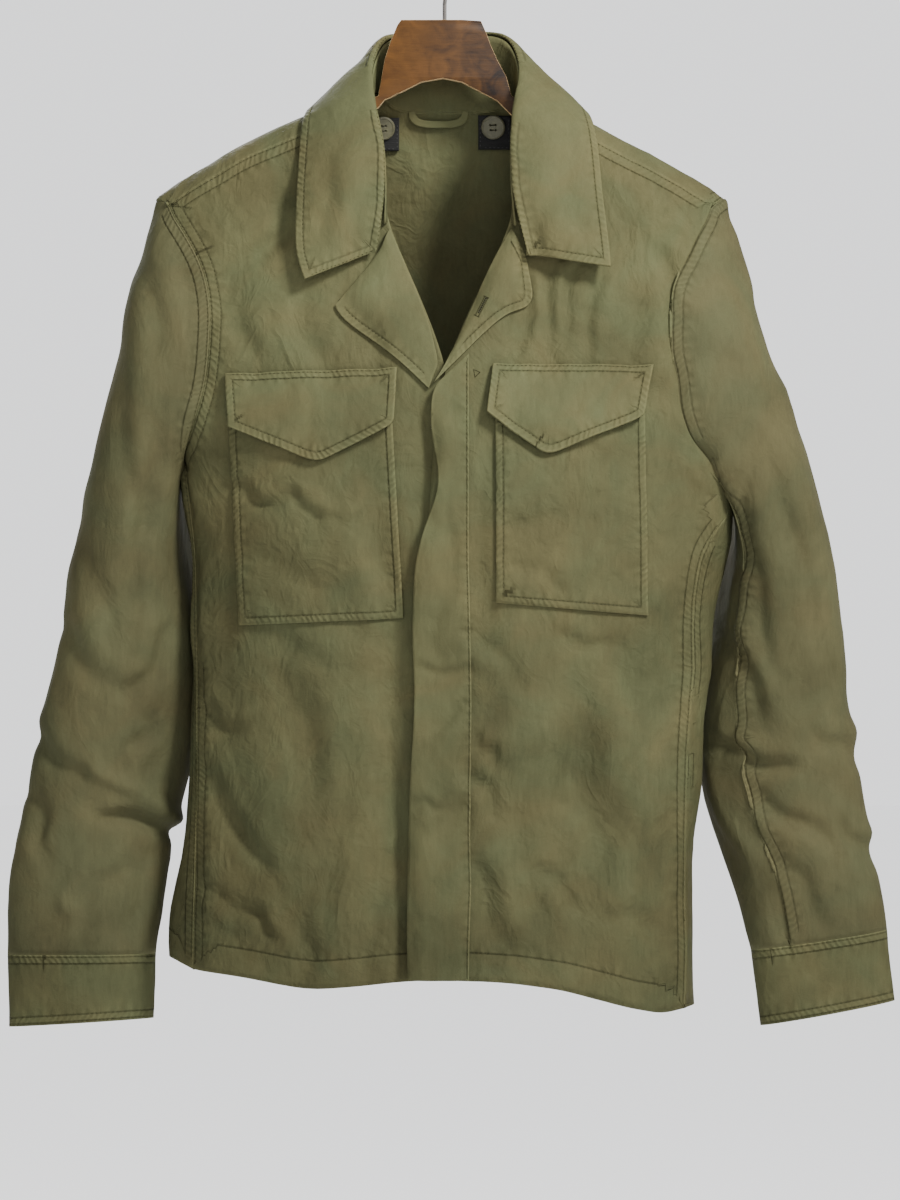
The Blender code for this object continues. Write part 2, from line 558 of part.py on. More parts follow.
def placket_grid(across=4, up=24):
    """Grid of the fly placket, top to hem, free edge to stitched edge."""
    drop = np.linspace(PLACKET["drop"][0], PLACKET["drop"][-1], up)[:, None]
    share = np.linspace(0, 1, across)[None, :]
    edge = curve_at(PLACKET["drop"], PLACKET["edge_x"], drop)
    seam = curve_at(PLACKET["drop"], PLACKET["seam_x"], drop)
    x = edge + (seam - edge) * share
    drop = drop - PLACKET_TOP_RISE * share * (1 - smooth_step((drop - PLACKET["drop"][0]) / PLACKET_TOP_FADE))
    return front_point(x, drop, fly_lift(x, drop) + ON_PANEL + PLACKET_LIFT)


def lapel_grid(rows, lifted, across=7, up=12):
    """Grid of one lapel, break to gorge, roll to free edge."""
    position = np.linspace(0, len(rows["roll_x"]) - 1, up)[:, None]
    share = np.linspace(0, 1, across)[None, :]
    value = {name: row_at(rows, name, position) for name in rows}
    x = value["roll_x"] + (value["edge_x"] - value["roll_x"]) * share
    drop = value["roll_drop"] + (value["edge_drop"] - value["roll_drop"]) * share
    rise = LAPEL_ROLL_RISE * np.sin(math.pi * share ** 0.6)
    lift = ON_PANEL + LAPEL_SEAT + rise * np.clip(position / 2, 0.15, 1)
    return front_point(x, drop, lift + (fly_lift(x, drop) if lifted else 0.0))


def neckline_points(rows, position):
    """The seam between body and collar, from the front end to the middle of the back."""
    last = len(rows["roll_x"]) - 1
    side = np.sign(rows["neck_x"][0])
    front_position = np.minimum(position, NECK_POINT_ROW)
    on_front = front_point(row_at(rows, "neck_x", front_position), row_at(rows, "neck_drop", front_position))
    turn = math.pi / 2 * np.clip((last - position) / (last - NECK_POINT_ROW), 0, 1)
    x = NECK_CENTRE + side * NECK_HALF * np.sin(turn)
    on_back = back_point(front_angle(x, WIDTH_DROP), back_top_level(x))
    return np.where(position[:, None] <= NECK_POINT_ROW, on_front, on_back)


def collar_sections(rows, stations):
    """Neckline, roll, the leaf's fold and free edge of half the collar, front end to the middle."""
    last = len(rows["roll_x"]) - 1
    back_stations = (NECK_COLUMNS - 1) // 2
    position = np.concatenate((
        np.linspace(0, NECK_POINT_ROW, stations - back_stations),
        np.linspace(NECK_POINT_ROW, last, back_stations + 1)[1:],
    ))
    neck = neckline_points(rows, position)
    roll = np.stack([row_at(rows, "roll_x", position), row_at(rows, "roll_y", position),
                     -row_at(rows, "roll_drop", position)], axis=-1)
    edge = np.stack([row_at(rows, "edge_x", position), row_at(rows, "edge_y", position),
                     -row_at(rows, "edge_drop", position)], axis=-1)
    reach = np.array(COLLAR_END[int(np.sign(rows["neck_x"][0]))], float) * (1, 1, -1)
    fold = roll + np.clip(1 - position, 0, 1)[:, None] * reach
    return neck, roll, fold, edge


def collar_grids(stations=16, rows_up=4, rows_down=6):
    """Grids of the collar's stand and of its leaf, from the right front to the left one."""
    halves = [collar_sections(COLLAR_RIGHT, stations), collar_sections(COLLAR_LEFT, stations)]
    neck, roll, fold, edge = (np.concatenate((r, l[-2::-1])) for r, l in zip(*halves))
    beyond = (roll - neck) / np.linalg.norm(roll - neck, axis=-1, keepdims=True)
    low = neck + beyond * SEAM_GAP
    stand = [low + (roll - low) * share for share in np.linspace(0, 1, rows_up)]
    outward = edge - fold
    outward -= beyond * np.sum(outward * beyond, axis=-1, keepdims=True)
    outward /= np.linalg.norm(outward, axis=-1, keepdims=True)
    leaf = [fold + outward * out + beyond * rise for out, rise in COLLAR_ROLL]
    start = leaf[-1]
    for share in np.linspace(0, 1, rows_down)[1:]:
        puff = (outward + beyond) * COLLAR_PUFF * math.sin(math.pi * share)
        leaf.append(start + (edge - start) * share + puff)
    return np.array(stand), np.array(leaf)


def pocket_grid(side, across=8, up=9):
    """Grid of one patch pocket, puffed at its middle."""
    corners = POCKETS[side]
    grid = np.zeros((up, across, 3))
    for i, row in enumerate(np.linspace(0, 1, up)):
        for j, column in enumerate(np.linspace(0, 1, across)):
            x, drop = quad_point(corners, column, row)
            puff = POCKET_PUFF * math.sin(math.pi * row) * math.sin(math.pi * column)
            lift = ON_PANEL + puff + (fly_lift(x, drop) if side == "left" else 0.0)
            grid[i, j] = front_point(x, drop, lift)
    return grid


def flap_grid(side, across=11, up=7):
    """Grid of one pointed flap, stitched edge to free edge."""
    corners = FLAPS[side]
    low = np.array(corners["bottom"], float)
    grid = np.zeros((up, across, 3))
    tip_share = (low[1, 0] - low[0, 0]) / (low[2, 0] - low[0, 0])
    for i, row in enumerate(np.linspace(0, 1, up) ** 0.8):
        for j, column in enumerate(np.linspace(0, 1, across)):
            top = np.array(corners["top"][0]) * (1 - column) + np.array(corners["top"][1]) * column
            share = np.interp(column, (0, 0.5, 1), (0, tip_share, 1))
            bottom = (np.interp(share, (0, tip_share, 1), low[:, 0]),
                      np.interp(share, (0, tip_share, 1), low[:, 1]))
            x, drop = top * (1 - row) + np.array(bottom) * row
            rise = FLAP_RISE * smooth_step(row / FLAP_RISE_SHARE) + FLAP_FLARE * row ** 2
            lift = ON_PANEL + FLAP_SEAT + rise
            grid[i, j] = front_point(x, drop, lift + (fly_lift(x, drop) if side == "left" else 0.0))
    return grid


def inner_back_point(x, drop, lift):
    """Point inside the back panel, moved in square to the cloth."""
    step = SLOPE_STEP

    def on_back(across, down):
        middle, half = body_middle(down)
        return back_point(np.arcsin((across - middle) / half), down)

    across = on_back(x + step, drop) - on_back(x - step, drop)
    down = on_back(x, drop + step) - on_back(x, drop - step)
    inward = np.cross(across, down)
    inward /= np.linalg.norm(inward, axis=-1, keepdims=True)
    inward *= -np.sign(inward[..., 1:2])
    return on_back(x, drop) + inward * np.asarray(lift)[..., None]


# ------------------------------------------------------------------ solids


def finish(name, color, roughness, metallic=0.0):
    """A plain material."""
    material = bpy.data.materials.new(name)
    material.use_nodes = True
    shader = material.node_tree.nodes["Principled BSDF"]
    shader.inputs["Base Color"].default_value = (*color, 1.0)
    shader.inputs["Roughness"].default_value = roughness
    shader.inputs["Metallic"].default_value = metallic
    return material


def add_object(name, mesh, collection, material):
    """Link a mesh as a named object."""
    mesh.materials.append(material)
    piece = bpy.data.objects.new(name, mesh)
    collection.objects.link(piece)
    mesh.shade_smooth()
    mesh.set_sharp_from_angle(angle=math.radians(50))
    return piece


def cloth(name, grid, collection, material, thick=CLOTH, closed=False):
    """A wall of cloth through a grid of points; closed joins its last column to the first."""
    rows, columns = grid.shape[:2]
    mesh_data = bmesh.new()
    verts = [[mesh_data.verts.new(Vector(point) * MM) for point in row] for row in grid]
    last = columns if closed else columns - 1
    for i in range(rows - 1):
        for j in range(last):
            k = (j + 1) % columns
            mesh_data.faces.new((verts[i][j], verts[i][k], verts[i + 1][k], verts[i + 1][j]))
    mesh = bpy.data.meshes.new(name)
    mesh_data.to_mesh(mesh)
    mesh_data.free()
    piece = add_object(name, mesh, collection, material)
    wall = piece.modifiers.new("wall", "SOLIDIFY")
    wall.thickness = thick * MM
    wall.offset = 0.0
    return piece


def disc(name, centre, facing, wide, collection, material):
    """A flat round button."""
    mesh_data = bmesh.new()
    bmesh.ops.create_cone(mesh_data, cap_ends=True, segments=20, radius1=wide / 2 * MM,
                          radius2=wide / 2 * MM, depth=BUTTON_THICK * MM)
    mesh = bpy.data.meshes.new(name)
    mesh_data.to_mesh(mesh)
    mesh_data.free()
    piece = add_object(name, mesh, collection, material)
    piece.location = Vector(centre) * MM
    piece.rotation_euler = Vector(facing).to_track_quat("Z", "Y").to_euler()
    return piece


def build_body(collection, cloth_finish):
    """Back, fronts, placket, lapels and collar."""
    cloth("back", back_panel(7, NECK_COLUMNS, 32), collection, cloth_finish)
    cloth("front_right", front_panel(FRONT_RIGHT, 12, 26, False), collection, cloth_finish)
    cloth("front_left", front_panel(FRONT_LEFT, 13, 26, True), collection, cloth_finish)
    cloth("fly_placket", placket_grid(), collection, cloth_finish, FIRM_CLOTH)
    cloth("lapel_right", lapel_grid(LAPEL_RIGHT, False), collection, cloth_finish, FIRM_CLOTH)
    cloth("lapel_left", lapel_grid(LAPEL_LEFT, True), collection, cloth_finish, FIRM_CLOTH)
    stand, leaf = collar_grids()
    cloth("collar_stand", stand, collection, cloth_finish, CLOTH)
    cloth("collar_leaf", leaf, collection, cloth_finish, FIRM_CLOTH)


def build_sleeves(collection, cloth_finish):
    """Both sleeves, each of two pieces, and the cuffs."""
    for side, rows, front_rows in (("right", SLEEVE_RIGHT, FRONT_RIGHT), ("left", SLEEVE_LEFT, FRONT_LEFT)):
        for name, columns in SLEEVE_FACES.items():
            grid = sleeve_grid(side, rows, front_rows, name, columns, 19)
            cloth(f"sleeve_{side}_{name}", grid, collection, cloth_finish)
        ring = cuff_grid(side, rows, 28)
        cloth(f"cuff_{side}", ring, collection, cloth_finish, FIRM_CLOTH, closed=True)


def build_pockets(collection, cloth_finish):
    """Two patch pockets with flaps."""
    for side in ("right", "left"):
        cloth(f"pocket_{side}", pocket_grid(side), collection, cloth_finish, CLOTH)
        cloth(f"flap_{side}", flap_grid(side), collection, cloth_finish, FIRM_CLOTH)


def build_neck_trim(collection, cloth_finish, tab_finish, button_finish):
    """Hanger loop, and the two tabs with their buttons, inside the back of the neck."""
    share = np.linspace(0, 1, 13)
    x = LOOP_ENDS[0] + (LOOP_ENDS[1] - LOOP_ENDS[0]) * share
    sag = LOOP_SAG * np.sin(math.pi * share) ** 0.7
    upper = inner_back_point(x, LOOP_DROP + sag, LOOP_SEAT + LOOP_STAND * np.sin(math.pi * share))
    lower = upper - np.array((0, 0, LOOP_WIDE))
    cloth("hanger_loop", np.array((upper, lower)), collection, cloth_finish, FIRM_CLOTH)
    for side, (start, end, top, bottom) in TABS.items():
        drop = np.linspace(top, bottom, 3)[:, None]
        across = np.linspace(start, end, 4)[None, :]
        grid = inner_back_point(across + 0 * drop, drop + 0 * across, TAB_INSET)
        cloth(f"neck_tab_{side}", grid, collection, tab_finish, FIRM_CLOTH)
        x, drop = TAB_BUTTONS[side]
        place = np.array(float(x)), np.array(float(drop))
        centre = inner_back_point(*place, TAB_INSET + TAB_BUTTON_LIFT + BUTTON_THICK / 2)
        facing = centre - inner_back_point(*place, 0.0)
        disc(f"neck_button_{side}", centre, facing, NECK_BUTTON_WIDE, collection, button_finish)


def build_fly_buttons(collection, button_finish):
    """Buttons between the right front and the left one."""
    for number, drop in enumerate(FLY_BUTTON_DROPS, start=1):
        low = front_point(np.array(FLY_BUTTON_X), np.array(float(drop)))
        high = front_point(np.array(FLY_BUTTON_X), np.array(float(drop)), FLY_LIFT)
        facing = high - low
        disc(f"fly_button_{number}", (low + high) / 2, facing, BUTTON_WIDE, collection, button_finish)


def hanger_outline():
    """Upper and lower edge of the wooden hanger, right to left."""
    x = np.array(HANGER["x"])
    arm_top = shoulder_drop(x) + HANGER_UNDER_SHOULDER
    top = np.where(np.abs(x) > HANGER_NECK, arm_top, HANGER["top"])
    return x, top, HANGER["bottom"]


def build_hanger(collection, wood_finish):
    """The hanger's outline cut from one board, with rounded edges."""
    x, top, bottom = hanger_outline()
    outline = [(a, -b) for a, b in zip(x, top)] + [(a, -b) for a, b in zip(x[::-1], bottom[::-1])]
    curve = bpy.data.curves.new("hanger", "CURVE")
    curve.dimensions = "2D"
    curve.fill_mode = "BOTH"
    curve.extrude = HANGER_THICK / 2 * MM
    spline = curve.splines.new("POLY")
    spline.points.add(len(outline) - 1)
    for point, (a, b) in zip(spline.points, outline):
        point.co = (a * MM, b * MM, 0, 1)
    spline.use_cyclic_u = True
    guide = bpy.data.objects.new("hanger_outline", curve)
    collection.objects.link(guide)
    guide.rotation_euler = (math.pi / 2, 0, 0)
    bpy.context.view_layer.update()
    mesh = bpy.data.meshes.new_from_object(guide.evaluated_get(bpy.context.evaluated_depsgraph_get()))
    mesh.transform(guide.matrix_world)
    bpy.data.objects.remove(guide)
    mesh_data = bmesh.new()
    mesh_data.from_mesh(mesh)
    bmesh.ops.remove_doubles(mesh_data, verts=mesh_data.verts, dist=0.00001)
    bmesh.ops.recalc_face_normals(mesh_data, faces=mesh_data.faces)
    mesh_data.to_mesh(mesh)
    mesh_data.free()
    mesh.name = "hanger"
    mesh.materials.clear()
    piece = add_object("hanger", mesh, collection, wood_finish)
    rounding = piece.modifiers.new("rounding", "BEVEL")
    rounding.width = HANGER_EDGE * MM
    rounding.segments = 2
    rounding.limit_method = "ANGLE"
    rounding.angle_limit = math.radians(60)
    return piece


def build_hook(collection, steel_finish):
    """Wire hook: a straight shank, a bend and most of a circle."""
    centre = -(HOOK_RADIUS - HOOK_WIRE / 2)
    route = [(SHANK_X, -HANGER_TOP_DROP + SEAT_GAP)]
    route += [(SHANK_X + across, up) for across, up in HOOK_NECK]
    for degrees in np.linspace(HOOK_START, HOOK_END, HOOK_POINTS):
        turn = math.radians(degrees)
        route.append((HOOK_RADIUS * math.cos(turn), centre + HOOK_RADIUS * math.sin(turn)))
    curve = bpy.data.curves.new("hook", "CURVE")
    curve.dimensions = "3D"
    curve.bevel_depth = HOOK_WIRE / 2 * MM
    curve.bevel_resolution = 2
    curve.use_fill_caps = True
    spline = curve.splines.new("POLY")
    spline.points.add(len(route) - 1)
    for point, (a, b) in zip(spline.points, route):
        point.co = (a * MM, 0, b * MM, 1)
    piece = bpy.data.objects.new("hook", curve)
    curve.materials.append(steel_finish)
    collection.objects.link(piece)
    return piece


def main():
    for old in list(bpy.data.objects):
        bpy.data.objects.remove(old)
    collection = bpy.data.collections.new("shirt_jacket")
    bpy.context.scene.collection.children.link(collection)
    olive = finish("olive_cotton", (0.195, 0.182, 0.082), 0.85)
    black = finish("black_tape", (0.012, 0.012, 0.012), 0.8)
    horn = finish("button_resin", (0.17, 0.17, 0.11), 0.35)
    wood = finish("varnished_wood", (0.16, 0.065, 0.028), 0.35)
    steel = finish("dark_steel", (0.12, 0.11, 0.10), 0.3, 1.0)
    build_body(collection, olive)
    build_sleeves(collection, olive)
    build_pockets(collection, olive)
    build_neck_trim(collection, olive, black, horn)
    build_fly_buttons(collection, horn)
    build_hanger(collection, wood)
    build_hook(collection, steel)


main()
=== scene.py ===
"""Shirt jacket on a wooden hanger: cloth, stitching, trim, hanger and studio.

Tables give sizes in millimetres. "x" is across, toward the wearer's left, and "drop" is the distance
below the top of the hanger's hook. The frame and every mesh are in metres.
"""

from __future__ import annotations

import logging
import math
from collections.abc import Sequence
from dataclasses import dataclass, field
from enum import Enum
from typing import Any

import bmesh
import bpy
import numpy as np
from mathutils import Matrix, Vector, noise
from mathutils.bvhtree import BVHTree


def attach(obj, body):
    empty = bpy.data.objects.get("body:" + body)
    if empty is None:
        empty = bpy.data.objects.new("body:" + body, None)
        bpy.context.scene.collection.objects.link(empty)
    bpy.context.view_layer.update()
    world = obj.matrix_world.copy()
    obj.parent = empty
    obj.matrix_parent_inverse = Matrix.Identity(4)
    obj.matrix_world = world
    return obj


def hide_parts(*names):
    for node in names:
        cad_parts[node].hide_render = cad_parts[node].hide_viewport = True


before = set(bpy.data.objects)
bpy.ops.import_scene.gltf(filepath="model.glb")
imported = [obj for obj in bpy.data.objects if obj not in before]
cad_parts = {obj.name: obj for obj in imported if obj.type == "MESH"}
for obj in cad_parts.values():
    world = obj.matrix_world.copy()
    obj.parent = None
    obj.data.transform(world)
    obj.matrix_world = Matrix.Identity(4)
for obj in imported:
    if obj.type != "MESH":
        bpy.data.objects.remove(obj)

MM = 0.001
BODY = "root"
LOG = logging.getLogger("shirt_jacket")

# Names of material slots; the builders take them but do not use them.
COTTON, TAPE, RESIN, WOOD = "olive_cotton", "black_tape", "button_resin", "varnished_wood"

Number = "Value | float"
Row = tuple[float, ...]


# ---------------------------------------------------------------- shader expressions


class Value:
    """A number in a shader, for use in Python expressions."""

    def __init__(self, shader: Shader, socket: bpy.types.NodeSocket) -> None:
        """Wrap one output socket of a shader's node."""
        self.shader = shader
        self.socket = socket

    def __add__(self, other: Number) -> Value:
        """Sum."""
        return self.shader.math("ADD", self, other)

    __radd__ = __add__

    def __mul__(self, other: Number) -> Value:
        """Product."""
        return self.shader.math("MULTIPLY", self, other)

    __rmul__ = __mul__

    def __sub__(self, other: Number) -> Value:
        """Difference."""
        return self.shader.math("SUBTRACT", self, other)

    def __rsub__(self, other: Number) -> Value:
        """Difference, the other way round."""
        return self.shader.math("SUBTRACT", other, self)

    def __truediv__(self, other: Number) -> Value:
        """Quotient."""
        return self.shader.math("DIVIDE", self, other)

    def __pow__(self, other: Number) -> Value:
        """Power."""
        return self.shader.math("POWER", self, other)

    def __neg__(self) -> Value:
        """Opposite."""
        return self.shader.math("MULTIPLY", self, -1.0)

    def __abs__(self) -> Value:
        """Size without sign."""
        return self.shader.math("ABSOLUTE", self)

    def clamp(self) -> Value:
        """Held between 0 and 1."""
        return self.shader.math("MAXIMUM", self.shader.math("MINIMUM", self, 1.0), 0.0)


class Shader:
    """One node material under construction."""

    def __init__(self, name: str) -> None:
        """Start a material with a Principled shader.

        Args:
            name: the material's name.
        """
        self.material = bpy.data.materials.new(name)
        self.material.use_nodes = True
        self.nodes = self.material.node_tree.nodes
        self.links = self.material.node_tree.links
        self.surface = self.nodes["Principled BSDF"]
        self.place = self.node("ShaderNodeTexCoord").outputs["Object"]

    def node(self, kind: str, settings: dict[str, Any] | None = None,
             sockets: dict[str | int, Any] | None = None) -> bpy.types.Node:
        """Add a node.

        Args:
            kind: the node's type.
            settings: its settings, set first.
            sockets: values or links of its inputs, by name or place.

        Returns:
            The node.
        """
        made = self.nodes.new(kind)
        for key, value in (settings or {}).items():
            setattr(made, key, value)
        for key, value in (sockets or {}).items():
            self.feed(made.inputs[key], value)
        return made

    def feed(self, socket: bpy.types.NodeSocket, value: Any) -> None:
        """Link a value or a socket to an input, or set a plain number or colour there.

        Args:
            socket: the input.
            value: what it takes.
        """
        if isinstance(value, Value):
            self.links.new(value.socket, socket)
        elif isinstance(value, bpy.types.NodeSocket):
            self.links.new(value, socket)
        else:
            socket.default_value = value

    def math(self, operation: str, *values: Number) -> Value:
        """Apply a Math node to one or two values."""
        made = self.node("ShaderNodeMath", {"operation": operation}, dict(enumerate(values)))
        return Value(self, made.outputs[0])

    def attribute(self, name: str) -> Value:
        """Read a number stored on the mesh."""
        made = self.node("ShaderNodeAttribute", {"attribute_name": name})
        return Value(self, made.outputs["Fac"])

    def stretched(self, x: float, y: float, z: float) -> bpy.types.NodeSocket:
        """Scale the place on the surface along the three axes."""
        made = self.node("ShaderNodeVectorMath", {"operation": "MULTIPLY"}, {0: self.place, 1: (x, y, z)})
        return made.outputs[0]

    def noise(self, grain: float, detail: float = 2.0, distortion: float = 0.0,
              place: bpy.types.NodeSocket | None = None) -> Value:
        """Soft noise between 0 and 1.

        Args:
            grain: size of its spots in millimetres.
            detail: number of finer layers.
            distortion: how far it swirls.
            place: coordinates, or the plain place on the surface.

        Returns:
            The noise.
        """
        made = self.node("ShaderNodeTexNoise", None, {
            "Vector": place or self.place, "Scale": 1.0 / (grain * MM), "Detail": detail,
            "Distortion": distortion})
        return Value(self, made.outputs["Fac"])

    def mixed(self, share: Number, low: Any, high: Any) -> bpy.types.NodeSocket:
        """Mix two colours.

        Args:
            share: share of the second, held between 0 and 1.
            low: the first colour or its socket.
            high: the second.

        Returns:
            The mixed colour.
        """
        made = self.node("ShaderNodeMix", {"data_type": "RGBA", "clamp_factor": True})
        for socket, value in zip((made.inputs[0], made.inputs[6], made.inputs[7]), (share, low, high)):
            self.feed(socket, (*value, 1.0) if isinstance(value, tuple) else value)
        return made.outputs[2]

    def gauss(self, value: Value, width: float) -> Value:
        """Bell curve of a value, 1 where the value is 0."""
        return self.math("EXPONENT", -((value / width) ** 2.0))

    def along(self, axis: int) -> Value:
        """Place on the surface along one axis, in metres."""
        return Value(self, self.node("ShaderNodeSeparateXYZ", None, {0: self.place}).outputs[axis])

    def bump(self, height: Value, distance: float) -> None:
        """Feed a height, in units of distance (millimetres), to the surface's normal."""
        made = self.node("ShaderNodeBump", None, {"Height": height, "Distance": distance * MM})
        self.feed(self.surface.inputs["Normal"], made.outputs[0])

    def finish(self, **sockets: Any) -> bpy.types.Material:
        """Set the surface's inputs.

        Args:
            sockets: values by the inputs' names, written small and with underscores.

        Returns:
            The material.
        """
        for key, value in sockets.items():
            name = key.replace("_", " ").title().replace("Ior", "IOR")
            plain = isinstance(value, tuple) and len(value) == 3
            self.feed(self.surface.inputs[name], (*value, 1.0) if plain else value)
        return self.material


# ---------------------------------------------------------------- finishes


@dataclass(frozen=True)
class Sateen:
    """Washed olive cotton sateen with faded edges and roped seams, and painted shade: darker towards the
    bottom and in the grooves of the stitches.

    The mesh stores, in millimetres, seam_d and seam_s, the distance from and along the nearest edge,
    and row_a and row_b, the distance past each row of stitches. Their signs are the same as seam_d's
    and they are large where the edge isn't sewn. seam_k is 0 at a corner and 1 away from it.
    """

    name: str
    deep: Row = (0.0034, 0.0035, 0.0017)
    faded: Row = (0.0455, 0.0485, 0.0235)
    warm: Row = (0.0510, 0.0470, 0.0220)
    tone: float = 0.78
    fall: float = 0.42          # painted shade: tone lost from a metre higher up to here
    wrinkle: float = 1.0        # height of the fine wrinkles
    rope: float = 1.0           # height of the roping in the seams
    rope_pitch: float = 5.2     # millimetres from one ridge of the roping to the next
    rope_slant: float = 0.55    # how far its ridges lean
    pucker_pitch: float = 9.5   # the same for the puckers beside the stitches
    pucker_reach: float = 5.0   # how far in they fade out
    groove_wide: float = 0.75   # half the sunk line that a row of stitches draws, and the reach of the painted shade along it
    worn_wide: float = 1.3      # reach of the pale wear at an edge
    band_wide: float = 12.0     # a sewn band this wide still has 0.6 of its roping
    gloss: float = 0.015

    def build(self) -> bpy.types.Material:
        """Make the material.

        Returns:
            The cloth's finish.
        """
        s = Shader(self.name)
        from_edge, along_edge = s.attribute("seam_d"), s.attribute("seam_s")
        row_a, row_b, calm = s.attribute("row_a"), s.attribute("row_b"), s.attribute("seam_k")
        # Stitch lines: sunk in the bump, and darkened in the colour as painted shade.
        groove_and_shade = s.gauss(row_a, self.groove_wide) + s.gauss(row_b, self.groove_wide)
        band = (0.5 - row_b / 1.6).clamp()
        narrow = (1.6 - (from_edge - row_b) / self.band_wide).clamp()
        beside = s.gauss(s.math("MAXIMUM", row_b, 0.0), self.pucker_reach) * (1.0 - band)
        uneven = s.noise(18.0, 2.0)
        turn = ((along_edge + from_edge * self.rope_slant) * (2 * math.pi / self.rope_pitch)
                + uneven * 11.0)
        roping = s.math("SINE", turn) * band * calm * narrow * (s.noise(26.0, 2.0) * 2.6 - 0.6).clamp()
        ripple = along_edge * (2 * math.pi / self.pucker_pitch) + uneven * 8.0
        puckers = s.math("SINE", ripple) * beside * calm
        patchy = s.noise(85.0, 4.0, 0.5)
        mottled = s.noise(13.0, 5.0, 1.0, s.stretched(1.0, 1.0, 0.6))
        weave = s.noise(0.9, 2.0)
        streaks = s.noise(2.2, 2.0, 0.0, s.stretched(1.0, 1.0, 0.12))
        worn = s.gauss(from_edge, self.worn_wide) * (0.2 + s.noise(5.0))
        # The lightness holds painted shade: it falls off towards the bottom, and the stitch lines are
        # darker.
        light = (self.tone + s.along(2) * self.fall + (patchy - 0.5) * 0.62 + (mottled - 0.5) * 0.20
                 + (weave - 0.5) * 0.20 + (streaks - 0.5) * 0.16 + worn * 0.30 + band * 0.05
                 + roping * 0.07 + puckers * 0.05 - groove_and_shade * 0.22)
        tint = (s.noise(58.0, 3.0, 0.8) * 3.0 - 1.0).clamp()
        color = s.mixed(light.clamp(), self.deep, s.mixed(tint, self.faded, self.warm))
        ridges = 1.0 - abs(s.noise(46.0, 3.0, 1.2, s.stretched(1.0, 1.0, 0.7)) - 0.5) * 2.4
        folds = 1.0 - abs(s.noise(21.0, 2.0, 1.6, s.stretched(1.1, 1.0, 0.8)) - 0.5) * 2.4
        small = s.noise(9.0, 3.0, 0.8)
        crinkle = s.noise(3.6, 2.0, 0.5)
        height = ((ridges * 1.9 + folds * 0.70 + small * 0.50 + crinkle * 0.16) * self.wrinkle
                  + (roping * 0.26 + puckers * 0.30 + band * 0.5) * self.rope - groove_and_shade * 0.5
                  + (weave - 0.5) * 0.08)
        s.bump(height, 1.0)
        return s.finish(base_color=color, roughness=0.72 - (light - 0.4) * 0.10,
                        specular_ior_level=self.gloss)


@dataclass(frozen=True)
class Tape:
    """Black woven tape."""

    name: str = "black_tape"

    def build(self) -> bpy.types.Material:
        """Make the material, with fine ribs across.

        Returns:
            The tape's finish.
        """
        s = Shader(self.name)
        rib = s.noise(1.4, 2.0, 0.0, s.stretched(0.25, 1.0, 2.2))
        s.bump(rib, 0.35)
        color = s.mixed(rib, (0.002, 0.002, 0.002), (0.010, 0.010, 0.0095))
        return s.finish(base_color=color, roughness=0.85, specular_ior_level=0.1)


@dataclass(frozen=True)
class Thread:
    """Cotton sewing thread."""

    name: str
    shade: Row = (0.0150, 0.0148, 0.0040)

    def build(self) -> bpy.types.Material:
        """Make the material, lighter and darker from stitch to stitch.

        Returns:
            The thread's finish.
        """
        s = Shader(self.name)
        dark = tuple(part * 0.55 for part in self.shade)
        color = s.mixed(s.noise(6.0, 3.0), dark, self.shade)
        s.bump(s.noise(0.6), 0.1)
        return s.finish(base_color=color, roughness=0.8, specular_ior_level=0.08)


@dataclass(frozen=True)
class Resin:
    """Olive grey button resin, with clouds."""

    name: str = "button_resin"

    def build(self) -> bpy.types.Material:
        """Make the material.

        Returns:
            The buttons' finish.
        """
        s = Shader(self.name)
        color = s.mixed(s.noise(7.0, 3.0, 2.0), (0.014, 0.0135, 0.0060), (0.050, 0.048, 0.024))
        s.bump(s.noise(1.2, 2.0), 0.04)
        return s.finish(base_color=color, roughness=0.42 + s.noise(3.0) * 0.12, specular_ior_level=0.22)


@dataclass(frozen=True)
class Wood:
    """Varnished wood: brown faces, or pale where the board's edge is cut."""

    name: str
    dark: Row
    light: Row
    coat: float = 0.03

    def build(self) -> bpy.types.Material:
        """Make the material, with its grain running across the board and painted shade on one side.

        Returns:
            The wood's finish.
        """
        s = Shader(self.name)
        broad = s.noise(26.0, 3.0, 1.0, s.stretched(0.12, 1.0, 1.0))
        fibre = s.noise(1.6, 3.0, 0.0, s.stretched(0.05, 1.0, 1.0))
        pores = s.noise(0.7, 2.0, 0.0, s.stretched(0.08, 1.0, 1.0)) ** 3.0
        # Painted shade: the board grows darker toward the wearer's left, the right as seen from the front.
        shade = (0.5 - s.along(0) * 11.0).clamp()
        stain = s.noise(19.0, 4.0, 1.5)
        # The colour mixes this painted shade with the grain, stains, fibres and pores.
        grain = (shade * 0.50 + broad * 0.25 + (stain - 0.5) * 0.9 + fibre * 0.16 - pores * 0.3).clamp()
        s.bump(fibre - pores, 0.12)
        return s.finish(base_color=s.mixed(grain, self.dark, self.light), roughness=0.62 - fibre * 0.12,
                        coat_weight=self.coat, coat_roughness=0.4, specular_ior_level=0.08)


@dataclass(frozen=True)
class Steel:
    """Darkened steel wire with rubbed spots."""

    name: str = "dark_steel"

    def build(self) -> bpy.types.Material:
        """Make the material.

        Returns:
            The wire's finish.
        """
        s = Shader(self.name)
        rubbed = s.noise(5.0, 3.0)
        s.bump(s.noise(0.8), 0.03)
        color = s.mixed(rubbed, (0.035, 0.032, 0.03), (0.16, 0.15, 0.14))
        return s.finish(base_color=color, roughness=0.5 - rubbed * 0.25, metallic=1.0)


# ---------------------------------------------------------------- cloth


